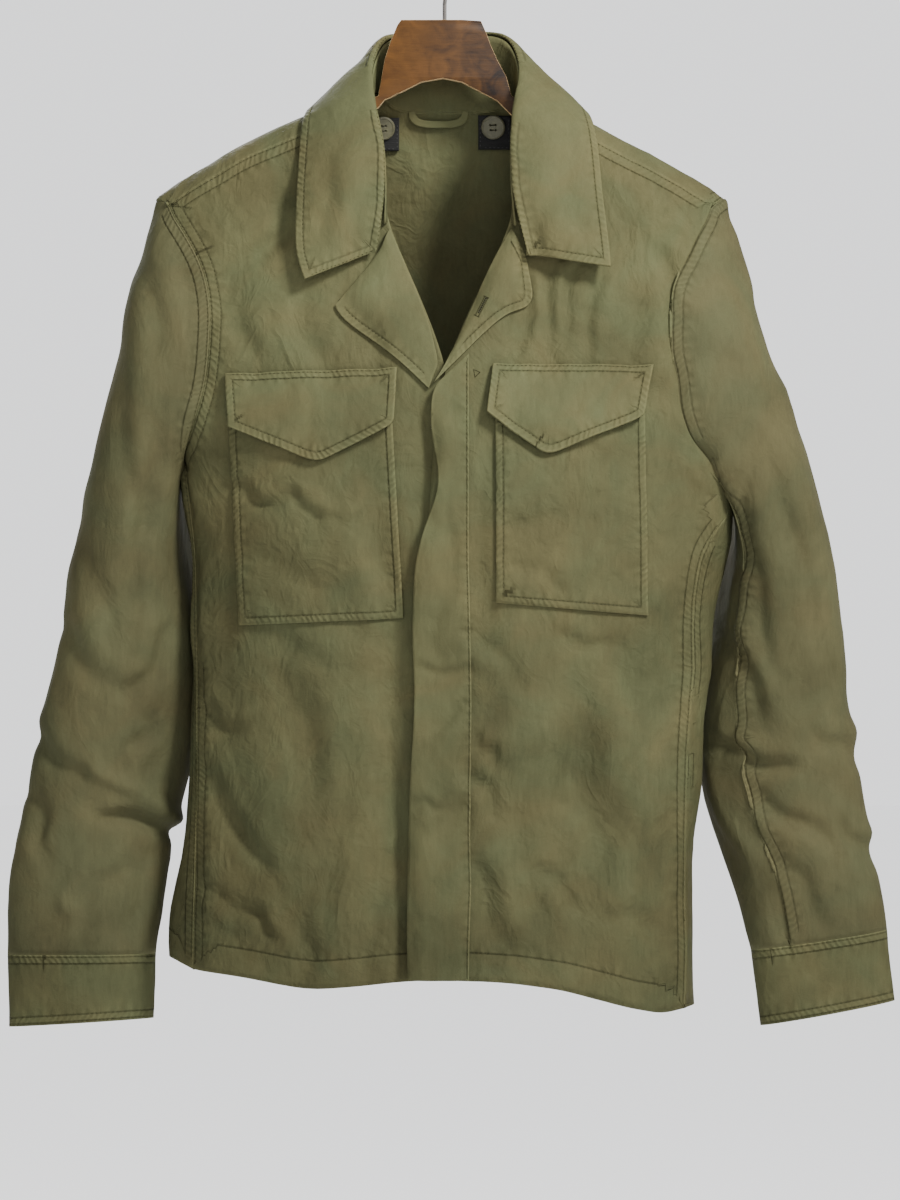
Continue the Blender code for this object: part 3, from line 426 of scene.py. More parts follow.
UNSEWN = 90.0       # distance in millimetres that stands for no stitching
SPLIT_TURN = 62.0   # degrees between faces that belong to different sides of a solid
PAIR_TURN = 40.0    # most degrees between two triangles that make one face
PAIR_SHAPE = 60.0   # and most degrees that its corners differ
PATCH_SIDES = 8     # a rim of so few edges is a small facet left out, and is patched
CORNER_TURN = 38.0  # degrees by which an edge turns at a corner
STITCH_TURN = 35.0  # a row of stitches stops where its edge turns more
CALM_FROM, CALM_OVER = 3.0, 8.0     # the roping starts this far from a corner, over this length
FINE_SHIFT = Vector((7.0, 3.0, 1.0))    # keeps the finer unevenness apart from the broad one
FINE_GRAIN, RUMPLE_LONG = 2.6, 1.4      # its grain, and how much longer than wide the rumples are
BROAD_SHARE, FINE_SHARE, RUMPLE_SINK = 1.3, 0.60, 0.2
PROBE_IN, PROBE_FAR = 3.0, 2.0          # a point this far in lies on the cloth, unless it is this far off
BLOCK = 1500        # points measured at a time
TINY = 1e-12


class Side(Enum):
    """Direction that an edge of a cloth piece faces."""

    RIGHT = (-1.0, 0.0, 0.0)
    LEFT = (1.0, 0.0, 0.0)
    UP = (0.0, 0.0, 1.0)
    DOWN = (0.0, 0.0, -1.0)
    FRONT = (0.0, -1.0, 0.0)
    BACK = (0.0, 1.0, 0.0)


class Form(Enum):
    """How the outer face of a cloth solid is told from its inner one."""

    WRAPPED = "the outer face is the larger one"
    FLAT = "the outer face looks to the front"


def ease(value: np.ndarray) -> np.ndarray:
    """Soft step from 0 to 1, held outside that range."""
    value = np.clip(value, 0.0, 1.0)
    return value * value * (3.0 - 2.0 * value)


def segment_distance(points: np.ndarray, starts: np.ndarray, ends: np.ndarray) -> tuple[np.ndarray, ...]:
    """Find the nearest place on a chain of segments.

    Args:
        points: places to measure from.
        starts: first ends of the segments.
        ends: their last ends.

    Returns:
        Distance, number of the nearest segment and the share along it, for each point.
    """
    along = ends - starts
    square = np.maximum(np.sum(along * along, axis=1), TINY)
    found = []
    for block in np.array_split(points, max(1, len(points) // BLOCK)):
        to = block[:, None, :] - starts[None]
        share = np.clip(np.sum(to * along[None], axis=2) / square[None], 0.0, 1.0)
        apart = np.linalg.norm(to - share[:, :, None] * along[None], axis=2)
        nearest = np.argmin(apart, axis=1)
        rows = np.arange(len(block))
        found.append((apart[rows, nearest], nearest, share[rows, nearest]))
    return tuple(np.concatenate(part) for part in zip(*found))


def baked(guide: bpy.types.Object) -> bpy.types.Mesh:
    """Turn an object and its modifiers into a plain mesh, and remove the object.

    Args:
        guide: the object, not in the scene yet.

    Returns:
        The mesh.
    """
    bpy.context.scene.collection.objects.link(guide)
    graph = bpy.context.evaluated_depsgraph_get()
    graph.update()
    mesh = bpy.data.meshes.new_from_object(guide.evaluated_get(graph))
    bpy.data.objects.remove(guide)
    return mesh


def add_piece(name: str, mesh: bpy.types.Mesh) -> bpy.types.Object:
    """Add a mesh to the scene as a piece of the object.

    Args:
        name: the piece's name.
        mesh: its mesh.

    Returns:
        The piece, riding on the body.
    """
    piece = bpy.data.objects.new(name, mesh)
    bpy.context.scene.collection.objects.link(piece)
    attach(piece, BODY)
    return piece


def store(mesh: bpy.types.Mesh, name: str, values: np.ndarray) -> None:
    """Keep a number for each point of a mesh."""
    mesh.attributes.new(name, "FLOAT", "POINT").data.foreach_set("value", values.astype(np.float32))


def thicken(piece: bpy.types.Object, wall: float, offset: float) -> None:
    """Give a sheet its wall.

    Args:
        piece: the sheet.
        wall: its thickness in millimetres.
        offset: -1 for a wall inside the sheet, 0 for one on both sides.
    """
    thick = piece.modifiers.new("wall", "SOLIDIFY")
    thick.thickness = wall * MM
    thick.offset = offset


@dataclass(frozen=True)
class Creases:
    """Creases, listed one by one: x0, drop0, x1, drop1, width, push and the side of the ridge beside it.

    A negative push is a trough. The last column is 1 or -1 for a softer ridge on one side, or 0.
    """

    rows: tuple[Row, ...]
    depth: float = 1.9          # the pushes are multiplied by it
    sway: float = 0.5           # how far a crease wanders sideways, in widths
    sway_turn: float = 5.0      # radians of that wave over the crease's length
    tail: float = 1.6           # length over which its ends fade, in widths
    thin_ends: float = 0.75     # strength at the ends, against the middle
    ridge_at: float = 1.9       # from the trough to the ridge beside it, in widths
    ridge_wide: float = 1.3
    ridge_share: float = 0.5

    def push(self, x: np.ndarray, drop: np.ndarray) -> np.ndarray:
        """Add up the creases.

        Args:
            x: places across, in millimetres.
            drop: places down.

        Returns:
            How far the cloth moves outward, in millimetres.
        """
        total = np.zeros(len(x))
        for x0, drop0, x1, drop1, width, push, ridge in self.rows:
            length = math.hypot(x1 - x0, drop1 - drop0)
            ax, ad = (x1 - x0) / length, (drop1 - drop0) / length
            run = ((x - x0) * ax + (drop - drop0) * ad) / length
            aside = (x - x0) * ad - (drop - drop0) * ax
            aside -= width * self.sway * np.sin(run * self.sway_turn + x0)
            past = np.maximum(np.abs(run - 0.5) - 0.5, 0.0) * length / (width * self.tail)
            swell = np.sin(math.pi * np.clip(run, 0, 1))
            fade = np.exp(-past ** 2) * (self.thin_ends + (1.0 - self.thin_ends) * swell)
            cut = np.exp(-(aside / width) ** 2)
            away = (aside - ridge * self.ridge_at * width) / (self.ridge_wide * width)
            beside = abs(ridge) * np.exp(-away ** 2)
            total += self.depth * push * fade * (cut - self.ridge_share * beside)
        return total


@dataclass
class ClothPiece:
    """One cut piece of cloth: a thin shell on its solid's outer face, creased and dressed."""

    node: str
    wall: float = 1.5
    form: Form = Form.WRAPPED
    level: int = 3
    creases: Creases = Creases(())
    rumple: float = 1.6         # height of the soft unevenness
    rumple_size: float = 42.0
    meets: tuple[str, ...] = ()     # pieces that its edges are sewn to
    meets_within: float = 11.0      # widest gap that is closed there, in millimetres
    flat: tuple[float, float] = (0.3, 0.3)      # size that it was cut to, in metres
    cut: float = 0.09           # its flat area, in square metres
    verts: np.ndarray = field(init=False, repr=False)
    normals: np.ndarray = field(init=False, repr=False)
    chains: list[np.ndarray] = field(init=False, repr=False)
    tree: BVHTree = field(init=False, repr=False)

    def skin(self) -> bpy.types.Mesh:
        """Take the outer face of the solid.

        Returns:
            A mesh of that face, in four-sided faces where they pair up.
        """
        shell = bmesh.new()
        shell.from_mesh(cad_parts[self.node].data)
        bmesh.ops.remove_doubles(shell, verts=shell.verts, dist=0.02 * MM)
        bmesh.ops.recalc_face_normals(shell, faces=shell.faces)
        islands = self.islands(shell)
        islands.sort(key=lambda faces: -sum(f.calc_area() for f in faces))
        first, second = islands[:2]
        if self.form is Form.FLAT and self.facing(first) < self.facing(second):
            first = second
        keep = set(first)
        bmesh.ops.delete(shell, geom=[f for f in shell.faces if f not in keep], context="FACES")
        rims = [edge for edge in shell.edges if edge.is_boundary]
        bmesh.ops.holes_fill(shell, edges=rims, sides=PATCH_SIDES)
        bmesh.ops.join_triangles(shell, faces=shell.faces, angle_face_threshold=math.radians(PAIR_TURN),
                                 angle_shape_threshold=math.radians(PAIR_SHAPE))
        mesh = bpy.data.meshes.new(self.node + "_skin")
        shell.to_mesh(mesh)
        shell.free()
        return mesh

    @staticmethod
    def facing(faces: Sequence[bmesh.types.BMFace]) -> float:
        """Tell how far a group of faces looks to the front."""
        return -sum(f.normal.y * f.calc_area() for f in faces)

    @staticmethod
    def islands(shell: bmesh.types.BMesh) -> list[list[bmesh.types.BMFace]]:
        """Split the faces of a solid along its sharp edges.

        Args:
            shell: the solid.

        Returns:
            Groups of faces.
        """
        sharp = math.radians(SPLIT_TURN)
        left = set(shell.faces)
        groups = []
        while left:
            queue = [left.pop()]
            group = []
            while queue:
                face = queue.pop()
                group.append(face)
                for edge in face.edges:
                    if len(edge.link_faces) != 2 or edge.calc_face_angle(0.0) > sharp:
                        continue
                    for other in edge.link_faces:
                        if other in left:
                            left.remove(other)
                            queue.append(other)
            groups.append(group)
        return groups

    def smooth(self, mesh: bpy.types.Mesh) -> bpy.types.Mesh:
        """Subdivide the skin into a smooth sheet.

        Args:
            mesh: the skin.

        Returns:
            The sheet.
        """
        rough = bpy.data.objects.new(self.node + "_rough", mesh)
        finer = rough.modifiers.new("finer", "SUBSURF")
        finer.levels = finer.render_levels = self.level
        finer.boundary_smooth = "PRESERVE_CORNERS"
        made = baked(rough)
        made.name = "dressed_" + self.node
        return made

    def measure(self, mesh: bpy.types.Mesh) -> None:
        """Read places and normals, in metres.

        Args:
            mesh: the sheet.
        """
        count = len(mesh.vertices)
        self.verts, self.normals = np.empty(count * 3), np.empty(count * 3)
        mesh.vertices.foreach_get("co", self.verts)
        mesh.vertex_normals.foreach_get("vector", self.normals)
        self.verts, self.normals = self.verts.reshape(-1, 3), self.normals.reshape(-1, 3)

    def move(self, mesh: bpy.types.Mesh, shift: np.ndarray) -> None:
        """Move the points of the sheet.

        Args:
            mesh: the sheet.
            shift: how far each one moves, in metres.
        """
        mesh.vertices.foreach_set("co", (self.verts + shift).ravel())
        mesh.update()
        self.measure(mesh)

    def crease(self, mesh: bpy.types.Mesh) -> None:
        """Push the sheet in and out along its normals.

        Args:
            mesh: the sheet.
        """
        self.measure(mesh)
        x, drop = self.verts[:, 0] / MM, -self.verts[:, 2] / MM
        push = self.creases.push(x, drop)
        size = self.rumple_size * MM
        for number, place in enumerate(self.verts):
            spot = Vector((place[0] / size, place[1] / size, place[2] / (RUMPLE_LONG * size)))
            fine = 0.5 - abs(noise.noise(spot * FINE_GRAIN + FINE_SHIFT))
            uneven = BROAD_SHARE * noise.noise(spot) + FINE_SHARE * fine - RUMPLE_SINK
            push[number] += self.rumple * uneven
        self.move(mesh, self.normals * (push * MM)[:, None])

    def edge_chains(self, mesh: bpy.types.Mesh) -> list[np.ndarray]:
        """Put the free edges in order.

        Args:
            mesh: the sheet.

        Returns:
            Closed chains of vertex numbers.
        """
        beside: dict[int, list[int]] = {}
        sheet = bmesh.new()
        sheet.from_mesh(mesh)
        for edge in sheet.edges:
            if edge.is_boundary:
                a, b = (v.index for v in edge.verts)
                beside.setdefault(a, []).append(b)
                beside.setdefault(b, []).append(a)
        sheet.free()
        chains = []
        left = set(beside)
        while left:
            start = min(left)
            chain, previous = [start], -1
            left.remove(start)
            while True:
                onward = [v for v in beside[chain[-1]] if v != previous and v in left]
                if not onward:
                    break
                previous = chain[-1]
                chain.append(onward[0])
                left.remove(onward[0])
            if len(chain) > 3:
                chains.append(np.array(chain))
        return chains

    def segments(self) -> tuple[np.ndarray, np.ndarray]:
        """Find the segments of the free edges.

        Returns:
            Their first and their last ends.
        """
        starts = np.concatenate([self.verts[chain] for chain in self.chains])
        ends = np.concatenate([self.verts[np.roll(chain, -1)] for chain in self.chains])
        return starts, ends

    def meet(self, mesh: bpy.types.Mesh, others: Sequence[ClothPiece]) -> None:
        """Close the seams: draw the edges to those of the pieces that they are sewn to.

        Args:
            mesh: the sheet.
            others: the pieces, already made.
        """
        limit, soft, inward = self.meets_within * MM, 1.5 * MM, 16.0 * MM
        starts, ends = (np.concatenate(part) for part in zip(*(other.segments() for other in others)))
        edge = np.concatenate(self.chains)
        apart, nearest, share = segment_distance(self.verts[edge], starts, ends)
        target = starts[nearest] + share[:, None] * (ends[nearest] - starts[nearest])
        pull = (target - self.verts[edge]) * ease((limit - apart) / soft)[:, None]
        onward = np.concatenate([np.roll(np.arange(len(c)), -1) + begun for c, begun in zip(
            self.chains, np.cumsum([0] + [len(c) for c in self.chains[:-1]]))])
        own_starts, own_ends = self.segments()
        away, close, part = segment_distance(self.verts, own_starts, own_ends)
        drawn = pull[close] * (1 - part[:, None]) + pull[onward[close]] * part[:, None]
        self.move(mesh, drawn * ease(1 - away / inward)[:, None])

    def outward(self, chain: np.ndarray) -> np.ndarray:
        """Find the directions in the cloth that lead out of the piece.

        Args:
            chain: one free edge.

        Returns:
            A direction for each of its points.
        """
        places = self.verts[chain]
        ahead = np.roll(places, -2, axis=0) - np.roll(places, 2, axis=0)
        outward = np.cross(ahead, self.normals[chain])
        outward /= np.maximum(np.linalg.norm(outward, axis=1, keepdims=True), 1e-9)
        probe = len(chain) // 7
        near = self.tree.find_nearest(Vector(places[probe] - outward[probe] * PROBE_IN * MM))
        return -outward if near[3] is not None and near[3] > PROBE_FAR * MM else outward

    def mark_seams(self, mesh: bpy.types.Mesh, seams: Sequence[Seam]) -> None:
        """Store each point's distances from the edge, along it and past the rows of stitches.

        Args:
            mesh: the sheet.
            seams: the rows of stitches along its edges.
        """
        starts, ends = (part / MM for part in self.segments())
        lengths = np.linalg.norm(ends - starts, axis=1)
        begun = np.concatenate(([0.0], np.cumsum(lengths)[:-1]))
        away, nearest, share = segment_distance(self.verts / MM, starts, ends)
        outward = np.concatenate([self.outward(chain) for chain in self.chains])
        rows = np.full((len(starts), 2), -UNSEWN)
        for seam in seams:
            faces = (outward @ np.array([side.value for side in seam.sides]).T).max(axis=1)
            across = np.abs(starts[:, 0])
            here = faces > math.cos(math.radians(seam.spread))
            here &= (across > seam.reach[0]) & (across < seam.reach[1])
            rows[here] = (seam.insets[0] if len(seam.insets) > 1 else -UNSEWN, seam.insets[-1])
        ahead = np.concatenate([np.roll(self.verts[c], -3, axis=0) - self.verts[c] for c in self.chains])
        behind = np.concatenate([self.verts[c] - np.roll(self.verts[c], 3, axis=0) for c in self.chains])
        bend = np.sum(ahead * behind, axis=1) / np.maximum(
            np.linalg.norm(ahead, axis=1) * np.linalg.norm(behind, axis=1), TINY)
        corners = starts[bend < math.cos(math.radians(CORNER_TURN))]
        calm = np.ones(len(self.verts))
        if len(corners):
            gap = segment_distance(self.verts / MM, corners, corners + 0.01)[0]
            calm = ease((gap - CALM_FROM) / CALM_OVER)
        stored = {"seam_d": away, "seam_s": begun[nearest] + share * lengths[nearest],
                  "row_a": away - rows[nearest, 0], "row_b": away - rows[nearest, 1], "seam_k": calm}
        for name, values in stored.items():
            store(mesh, name, values)

    def build(self, material: bpy.types.Material, slot: str,
              made: dict[str, ClothPiece], seams: Sequence[Seam]) -> None:
        """Make the shell in place of the solid.

        Args:
            material: its finish.
            slot: not used.
            made: the pieces made before it.
            seams: the rows of stitches along its edges.
        """
        mesh = self.smooth(self.skin())
        self.crease(mesh)
        self.chains = self.edge_chains(mesh)
        if self.meets:
            self.meet(mesh, [made[node] for node in self.meets])
        self.tree = BVHTree.FromPolygons(self.verts.tolist(), [tuple(p.vertices) for p in mesh.polygons])
        self.mark_seams(mesh, seams)
        mesh.shade_smooth()
        mesh.materials.clear()
        mesh.materials.append(material)
        shell = add_piece(mesh.name, mesh)
        thicken(shell, self.wall, -1.0)
        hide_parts(self.node)

    def edge_runs(self, sides: Sequence[Side], inset: float, spread: float = 50.0) -> list[np.ndarray]:
        """Follow the edges that face some sides, at a distance inside them.

        Args:
            sides: the sides.
            inset: millimetres in from the edge.
            spread: degrees that an edge may turn away from the side.

        Returns:
            Lines of points near the surface.
        """
        runs = []
        wanted = np.array([side.value for side in sides])
        for chain in self.chains:
            places, outward = self.verts[chain], self.outward(chain)
            chosen = (outward @ wanted.T).max(axis=1) > math.cos(math.radians(spread))
            inner = places - outward * inset * MM
            starts, ends = places, np.roll(places, -1, axis=0)
            pitch = np.linalg.norm(ends - starts, axis=1).mean() / MM
            reach = max(1, round(inset / pitch))
            straight = np.sum(np.roll(outward, reach, axis=0) * np.roll(outward, -reach, axis=0), axis=1)
            chosen &= straight > math.cos(math.radians(STITCH_TURN))
            away = segment_distance(inner, starts, ends)[0]
            chosen &= away > 0.96 * inset * MM
            if chosen.all():
                runs.append(np.concatenate((inner, inner[:1])))
                continue
            first = int(np.argmin(chosen))
            run: list[np.ndarray] = []
            for number in np.roll(np.arange(len(chain)), -first):
                if chosen[number]:
                    run.append(inner[number])
                elif run:
                    runs.append(np.array(run))
                    run = []
            if run:
                runs.append(np.array(run))
        return [run for run in runs if len(run) > 3]

    def seat(self, place: Sequence[float]) -> tuple[Vector, Vector] | None:
        """Find the nearest place on the outer face.

        Args:
            place: where to look from, in metres.

        Returns:
            The place and its normal.
        """
        found = self.tree.find_nearest(Vector(place))
        return None if found[0] is None else (found[0], found[1])

    def project(self, x: float, drop: float) -> tuple[Vector, Vector] | None:
        """Find the place on the outer face that is seen straight from the front.

        Args:
            x: place across in millimetres.
            drop: place down.

        Returns:
            The place and its normal, or None beside the piece.
        """
        found = self.tree.ray_cast(Vector((x * MM, -1.0, -drop * MM)), Vector((0.0, 1.0, 0.0)))
        return None if found[0] is None else (found[0], found[1])


# ---------------------------------------------------------------- stitching


# Corners of a stitch: its two ends, its two sides, its top and its underside.
LENS = ((0, 2, 4), (2, 1, 4), (1, 3, 4), (3, 0, 4), (2, 0, 5), (1, 2, 5), (3, 1, 5), (0, 3, 5))


def heading(start: Row, end: Row) -> tuple[float, float, float]:
    """Measure a short line on the cloth, seen from the front.

    Args:
        start: x and drop of its first end.
        end: those of its last end.

    Returns:
        Its length, and its direction in x and in drop.
    """
    length = math.hypot(end[0] - start[0], end[1] - start[1])
    return length, (end[0] - start[0]) / length, (end[1] - start[1]) / length


@dataclass
class Stitching:
    """Many stitches joined into one mesh; sizes in millimetres."""

    name: str
    length: float = 2.5
    gap: float = 0.8
    half_wide: float = 0.36
    rise: float = 0.34
    dip: float = 0.3            # the ends lie this share of the rise inside the cloth
    under: float = 0.6          # and the underside this share
    step: float = 2.0           # between the points of a drawn line
    verts: list[Vector] = field(default_factory=list, repr=False)
    faces: list[tuple[int, int, int]] = field(default_factory=list, repr=False)

    def stitch(self, start: Vector, end: Vector, normal: Vector) -> None:
        """Add one stitch, a slim lens that stands off the cloth.

        Args:
            start: where the thread comes out.
            end: where it goes back in.
            normal: away from the cloth.
        """
        middle = (start + end) / 2
        across = (end - start).cross(normal).normalized() * self.half_wide * MM
        first = len(self.verts)
        up = normal * self.rise * MM
        self.verts += [start - up * self.dip, end - up * self.dip, middle + across, middle - across,
                       middle + up, middle - up * self.under]
        self.faces += [(first + a, first + b, first + c) for a, b, c in LENS]

    def follow(self, cloth: ClothPiece, line: np.ndarray) -> None:
        """Sew along a line near a piece of cloth.

        Args:
            cloth: the piece.
            line: points of the line, in metres.
        """
        steps = np.linalg.norm(np.diff(line, axis=0), axis=1)
        lengths = np.concatenate(([0.0], np.cumsum(steps)))
        pitch = (self.length + self.gap) * MM
        for begin in np.arange(0.0, lengths[-1] - pitch, pitch):
            ends = []
            for where in (begin, begin + self.length * MM):
                place = [np.interp(where, lengths, line[:, axis]) for axis in range(3)]
                ends.append(cloth.seat(place))
            if None not in ends:
                (start, normal), (end, _) = ends
                self.stitch(start, end, normal)

    def drawn(self, cloth: ClothPiece, points: Sequence[Row]) -> None:
        """Sew along a line that is drawn on the front.

        Args:
            cloth: the piece.
            points: x and drop of its points.
        """
        found = []
        for (x0, drop0), (x1, drop1) in zip(points, points[1:]):
            count = max(2, int(math.hypot(x1 - x0, drop1 - drop0) / self.step))
            for share in np.linspace(0, 1, count, endpoint=False):
                hit = cloth.project(x0 + (x1 - x0) * share, drop0 + (drop1 - drop0) * share)
                if hit:
                    found.append(hit[0])
        if len(found) > 2:
            self.follow(cloth, np.array([tuple(place) for place in found]))

    def purl(self, cloth: ClothPiece, start: Row, end: Row, wide: float, pitch: float = 0.75) -> None:
        """Set close stitches crosswise along a short line, as in a tack or one side of a buttonhole.

        Args:
            cloth: the piece they are on.
            start: x and drop of the line's first end.
            end: its last end.
            wide: length of each stitch in millimetres.
            pitch: from one stitch to the next.
        """
        length, ax, ad = heading(start, end)
        for where in np.arange(0.0, length, pitch):
            x, drop = start[0] + ax * where, start[1] + ad * where
            ends = [cloth.project(x - ad * half, drop + ax * half) for half in (-wide / 2, wide / 2)]
            if None not in ends:
                (first, normal), (last, _) = ends
                self.stitch(first, last, normal)

    def build(self, material: bpy.types.Material, slot: str) -> None:
        """Join the stitches into one piece.

        Args:
            material: the thread.
            slot: not used.
        """
        mesh = bpy.data.meshes.new(self.name)
        mesh.from_pydata([tuple(v) for v in self.verts], [], self.faces)
        mesh.shade_smooth()
        mesh.materials.append(material)
        add_piece(self.name, mesh)
        LOG.info("%s %d", self.name, len(self.faces) // len(LENS))


@dataclass(frozen=True)
class Seam:
    """Rows of stitches along some edges of a piece."""

    node: str
    sides: tuple[Side, ...]
    insets: tuple[float, ...]
    spread: float = 50.0
    reach: tuple[float, float] = (0.0, 1000.0)      # least and greatest |x| in millimetres

    def sew(self, thread: Stitching, cloth: ClothPiece) -> None:
        """Add the rows to a thread.

        Args:
            thread: takes the stitches.
            cloth: the piece.
        """
        low, high = self.reach
        for inset in self.insets:
            for run in cloth.edge_runs(self.sides, inset, self.spread):
                inside = (np.abs(run[:, 0]) > low * MM) & (np.abs(run[:, 0]) < high * MM)
                for part in np.split(run, np.flatnonzero(np.diff(inside.astype(int))) + 1):
                    if len(part) > 3 and low * MM < abs(part[1, 0]) < high * MM:
                        thread.follow(cloth, part)


@dataclass
class HangerLoop:
    """Folded strip whose ends are sewn into the neck seam, in place of the plain one."""

    node: str = "hanger_loop"
    ends: Row = (-27.5, 20.5)
    top: float = 142.0
    seam: float = 149.0         # the back's edge is above this drop
    deep: float = 14.5
    wide: float = 5.6
    wall: float = 1.6
    inside: float = 3.0         # its face lies this far inside the back's outer face
    stand: float = 2.2          # and its middle this much further
    square: float = 0.62        # lower for squarer corners
    steps: int = 36
    strands: int = 5
    flat: tuple[float, float] = (0.010, 0.062)
    cut: float = 0.00036

    def build(self, back: ClothPiece, material: bpy.types.Material) -> None:
        """Bend the strip along the inside of the back.

        Args:
            back: the back, already made.
            material: the cloth's finish.
        """
        centre, half = sum(self.ends) / 2, (self.ends[1] - self.ends[0]) / 2
        verts: list[Row] = []
        for step in range(self.steps + 1):
            turn = math.pi * step / self.steps
            along, down = math.cos(turn), math.sin(turn)
            for strand in range(self.strands + 1):
                inset = self.wide * strand / self.strands
                x = centre - (half - inset) * math.copysign(abs(along) ** self.square, along)
                drop = self.top + (self.deep - inset) * abs(down) ** self.square
                place = back.project(x, max(drop, self.seam))[0]
                verts.append((x * MM, place.y - (self.inside + self.stand * down) * MM, -drop * MM))
        wide = self.strands + 1
        faces = [(a, a + 1, a + 1 + wide, a + wide)
                 for step in range(self.steps) for a in range(step * wide, step * wide + self.strands)]
        mesh = bpy.data.meshes.new("dressed_" + self.node)
        mesh.from_pydata(verts, [], faces)
        for name in ("row_a", "row_b"):
            store(mesh, name, np.full(len(verts), UNSEWN))
        mesh.shade_smooth()
        mesh.materials.append(material)
        loop = add_piece(mesh.name, mesh)
        thicken(loop, self.wall, 0.0)
        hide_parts(self.node)
        LOG.info(self.node)


# ---------------------------------------------------------------- buttons, hanger and hook


@dataclass
class HoledButton:
    """Four-hole button in place of a plain disc, with its thread."""

    node: str
    wide: float = 19.0
    thick: float = 2.4
    hole: float = 0.95
    spacing: float = 2.0        # from the middle to the holes, across and down
    round_edge: float = 0.5
    sides: int = 40
    hole_sides: int = 14
    ring_in: float = 1.2        # the raised ring lies this far in from the edge
    ring_wide: float = 0.7
    ring_high: float = 0.35
    ring_steps: int = 6
    ring_sunk: float = 0.05
    thread_up: float = 0.1      # the threads lie this far off the face
    thread_aside: float = 0.3   # half the distance between two threads of a pair
    sharp: float = 35.0         # degrees between faces that meet in a crisp line

    def pose(self) -> Matrix:
        """Read the disc's place and turn the button's face to the front.

        Returns:
            Where the button goes.
        """
        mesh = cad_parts[self.node].data
        points = np.array([v.co for v in mesh.vertices])
        centre = points.mean(axis=0)
        facing = np.linalg.svd(points - centre, full_matrices=False)[2][2]
        if facing[1] > 0:
            facing = -facing
        turned = Vector(facing).to_track_quat("Z", "Y").to_matrix().to_4x4()
        return Matrix.Translation(Vector(centre)) @ turned

    def outline(self) -> bpy.types.Curve:
        """Draw the round edge and the four holes.

        Returns:
            The closed outlines, which fill into the button.
        """
        curve = bpy.data.curves.new(self.node + "_outline", "CURVE")
        curve.dimensions = "2D"
        curve.fill_mode = "BOTH"
        curve.extrude = (self.thick / 2 - self.round_edge) * MM
        curve.bevel_depth = self.round_edge * MM
        curve.bevel_resolution = 2
        rings = [(0.0, 0.0, self.wide / 2 - self.round_edge, self.sides)]
        rings += [(x, y, self.hole + self.round_edge * 0.5, self.hole_sides)
                  for x in (-self.spacing, self.spacing) for y in (-self.spacing, self.spacing)]
        for x, y, radius, sides in rings:
            ring = curve.splines.new("POLY")
            ring.points.add(sides - 1)
            for number, point in enumerate(ring.points):
                turn = 2 * math.pi * number / sides
                across, up = x + radius * math.cos(turn), y + radius * math.sin(turn)
                point.co = (across * MM, up * MM, 0.0, 1.0)
            ring.use_cyclic_u = True
        return curve

    def build(self, material: bpy.types.Material, thread: Stitching) -> None:
        """Make the button and sew it on.

        Args:
            material: the resin.
            thread: takes the stitches through the holes.
        """
        mesh = baked(bpy.data.objects.new(self.node + "_guide", self.outline()))
        sheet = bmesh.new()
        sheet.from_mesh(mesh)
        top = self.thick / 2
        self.raise_ring(sheet, top)
        sheet.to_mesh(mesh)
        sheet.free()
        pose = self.pose()
        mesh.transform(pose)
        mesh.name = "dressed_" + self.node
        mesh.shade_smooth()
        mesh.set_sharp_from_angle(angle=math.radians(self.sharp))
        mesh.materials.clear()
        mesh.materials.append(material)
        button = add_piece(mesh.name, mesh)
        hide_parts(self.node)
        normal = (pose.to_3x3() @ Vector((0, 0, 1))).normalized()
        level = top + self.thread_up
        for y in (-self.spacing, self.spacing):
            for shift in (-self.thread_aside, self.thread_aside):
                ends = [pose @ (Vector((x, y + shift, level)) * MM) for x in (-self.spacing, self.spacing)]
                thread.stitch(ends[0], ends[1], normal)
        LOG.info(self.node)

    def raise_ring(self, sheet: bmesh.types.BMesh, top: float) -> None:
        """Raise a round ring on the face of the button.

        Args:
            sheet: takes the ring.
            top: level of the face, in millimetres.
        """
        radius = self.wide / 2 - self.ring_in
        rings = []
        for part in range(self.ring_steps + 1):
            bend = math.pi * part / self.ring_steps
            level = (top + self.ring_high * math.sin(bend) - self.ring_sunk) * MM
            reach = (radius + self.ring_wide * math.cos(bend)) * MM
            rings.append([sheet.verts.new((reach * math.cos(2 * math.pi * k / self.sides),
                                           reach * math.sin(2 * math.pi * k / self.sides), level))
                          for k in range(self.sides)])
        for inner, outer in zip(rings, rings[1:]):
            for k in range(self.sides):
                n = (k + 1) % self.sides
                sheet.faces.new((inner[k], inner[n], outer[n], outer[k]))


@dataclass
class Hanger:
    """Wooden hanger with pale cut edges, and its wire hook."""

    face: Wood = Wood("wood_face", (0.0035, 0.0014, 0.0005), (0.056, 0.0235, 0.0042))
    edge: Wood = Wood("wood_edge", (0.20, 0.13, 0.06), (0.42, 0.31, 0.17), 0.02)
    edge_turn: float = 0.75     # faces that look to the front by less than this show the cut edge
    sharp: float = 28.0         # degrees between faces that meet in a crisp line

    def build(self) -> None:
        """Dress the board; the hook keeps its solid and gets a finish."""
        board = bmesh.new()
        board.from_mesh(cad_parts["hanger"].data)
        bmesh.ops.remove_doubles(board, verts=board.verts, dist=0.01 * MM)
        for part in board.faces:
            part.material_index = int(abs(part.normal.y) < self.edge_turn)
        mesh = bpy.data.meshes.new("dressed_hanger")
        board.to_mesh(mesh)
        board.free()
        mesh.shade_smooth()
        mesh.set_sharp_from_angle(angle=math.radians(self.sharp))
        mesh.materials.append(self.face.build())
        mesh.materials.append(self.edge.build())
        hanger = add_piece(mesh.name, mesh)
        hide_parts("hanger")
        dress_node("hook", Steel().build())
        LOG.info("hanger and hook")


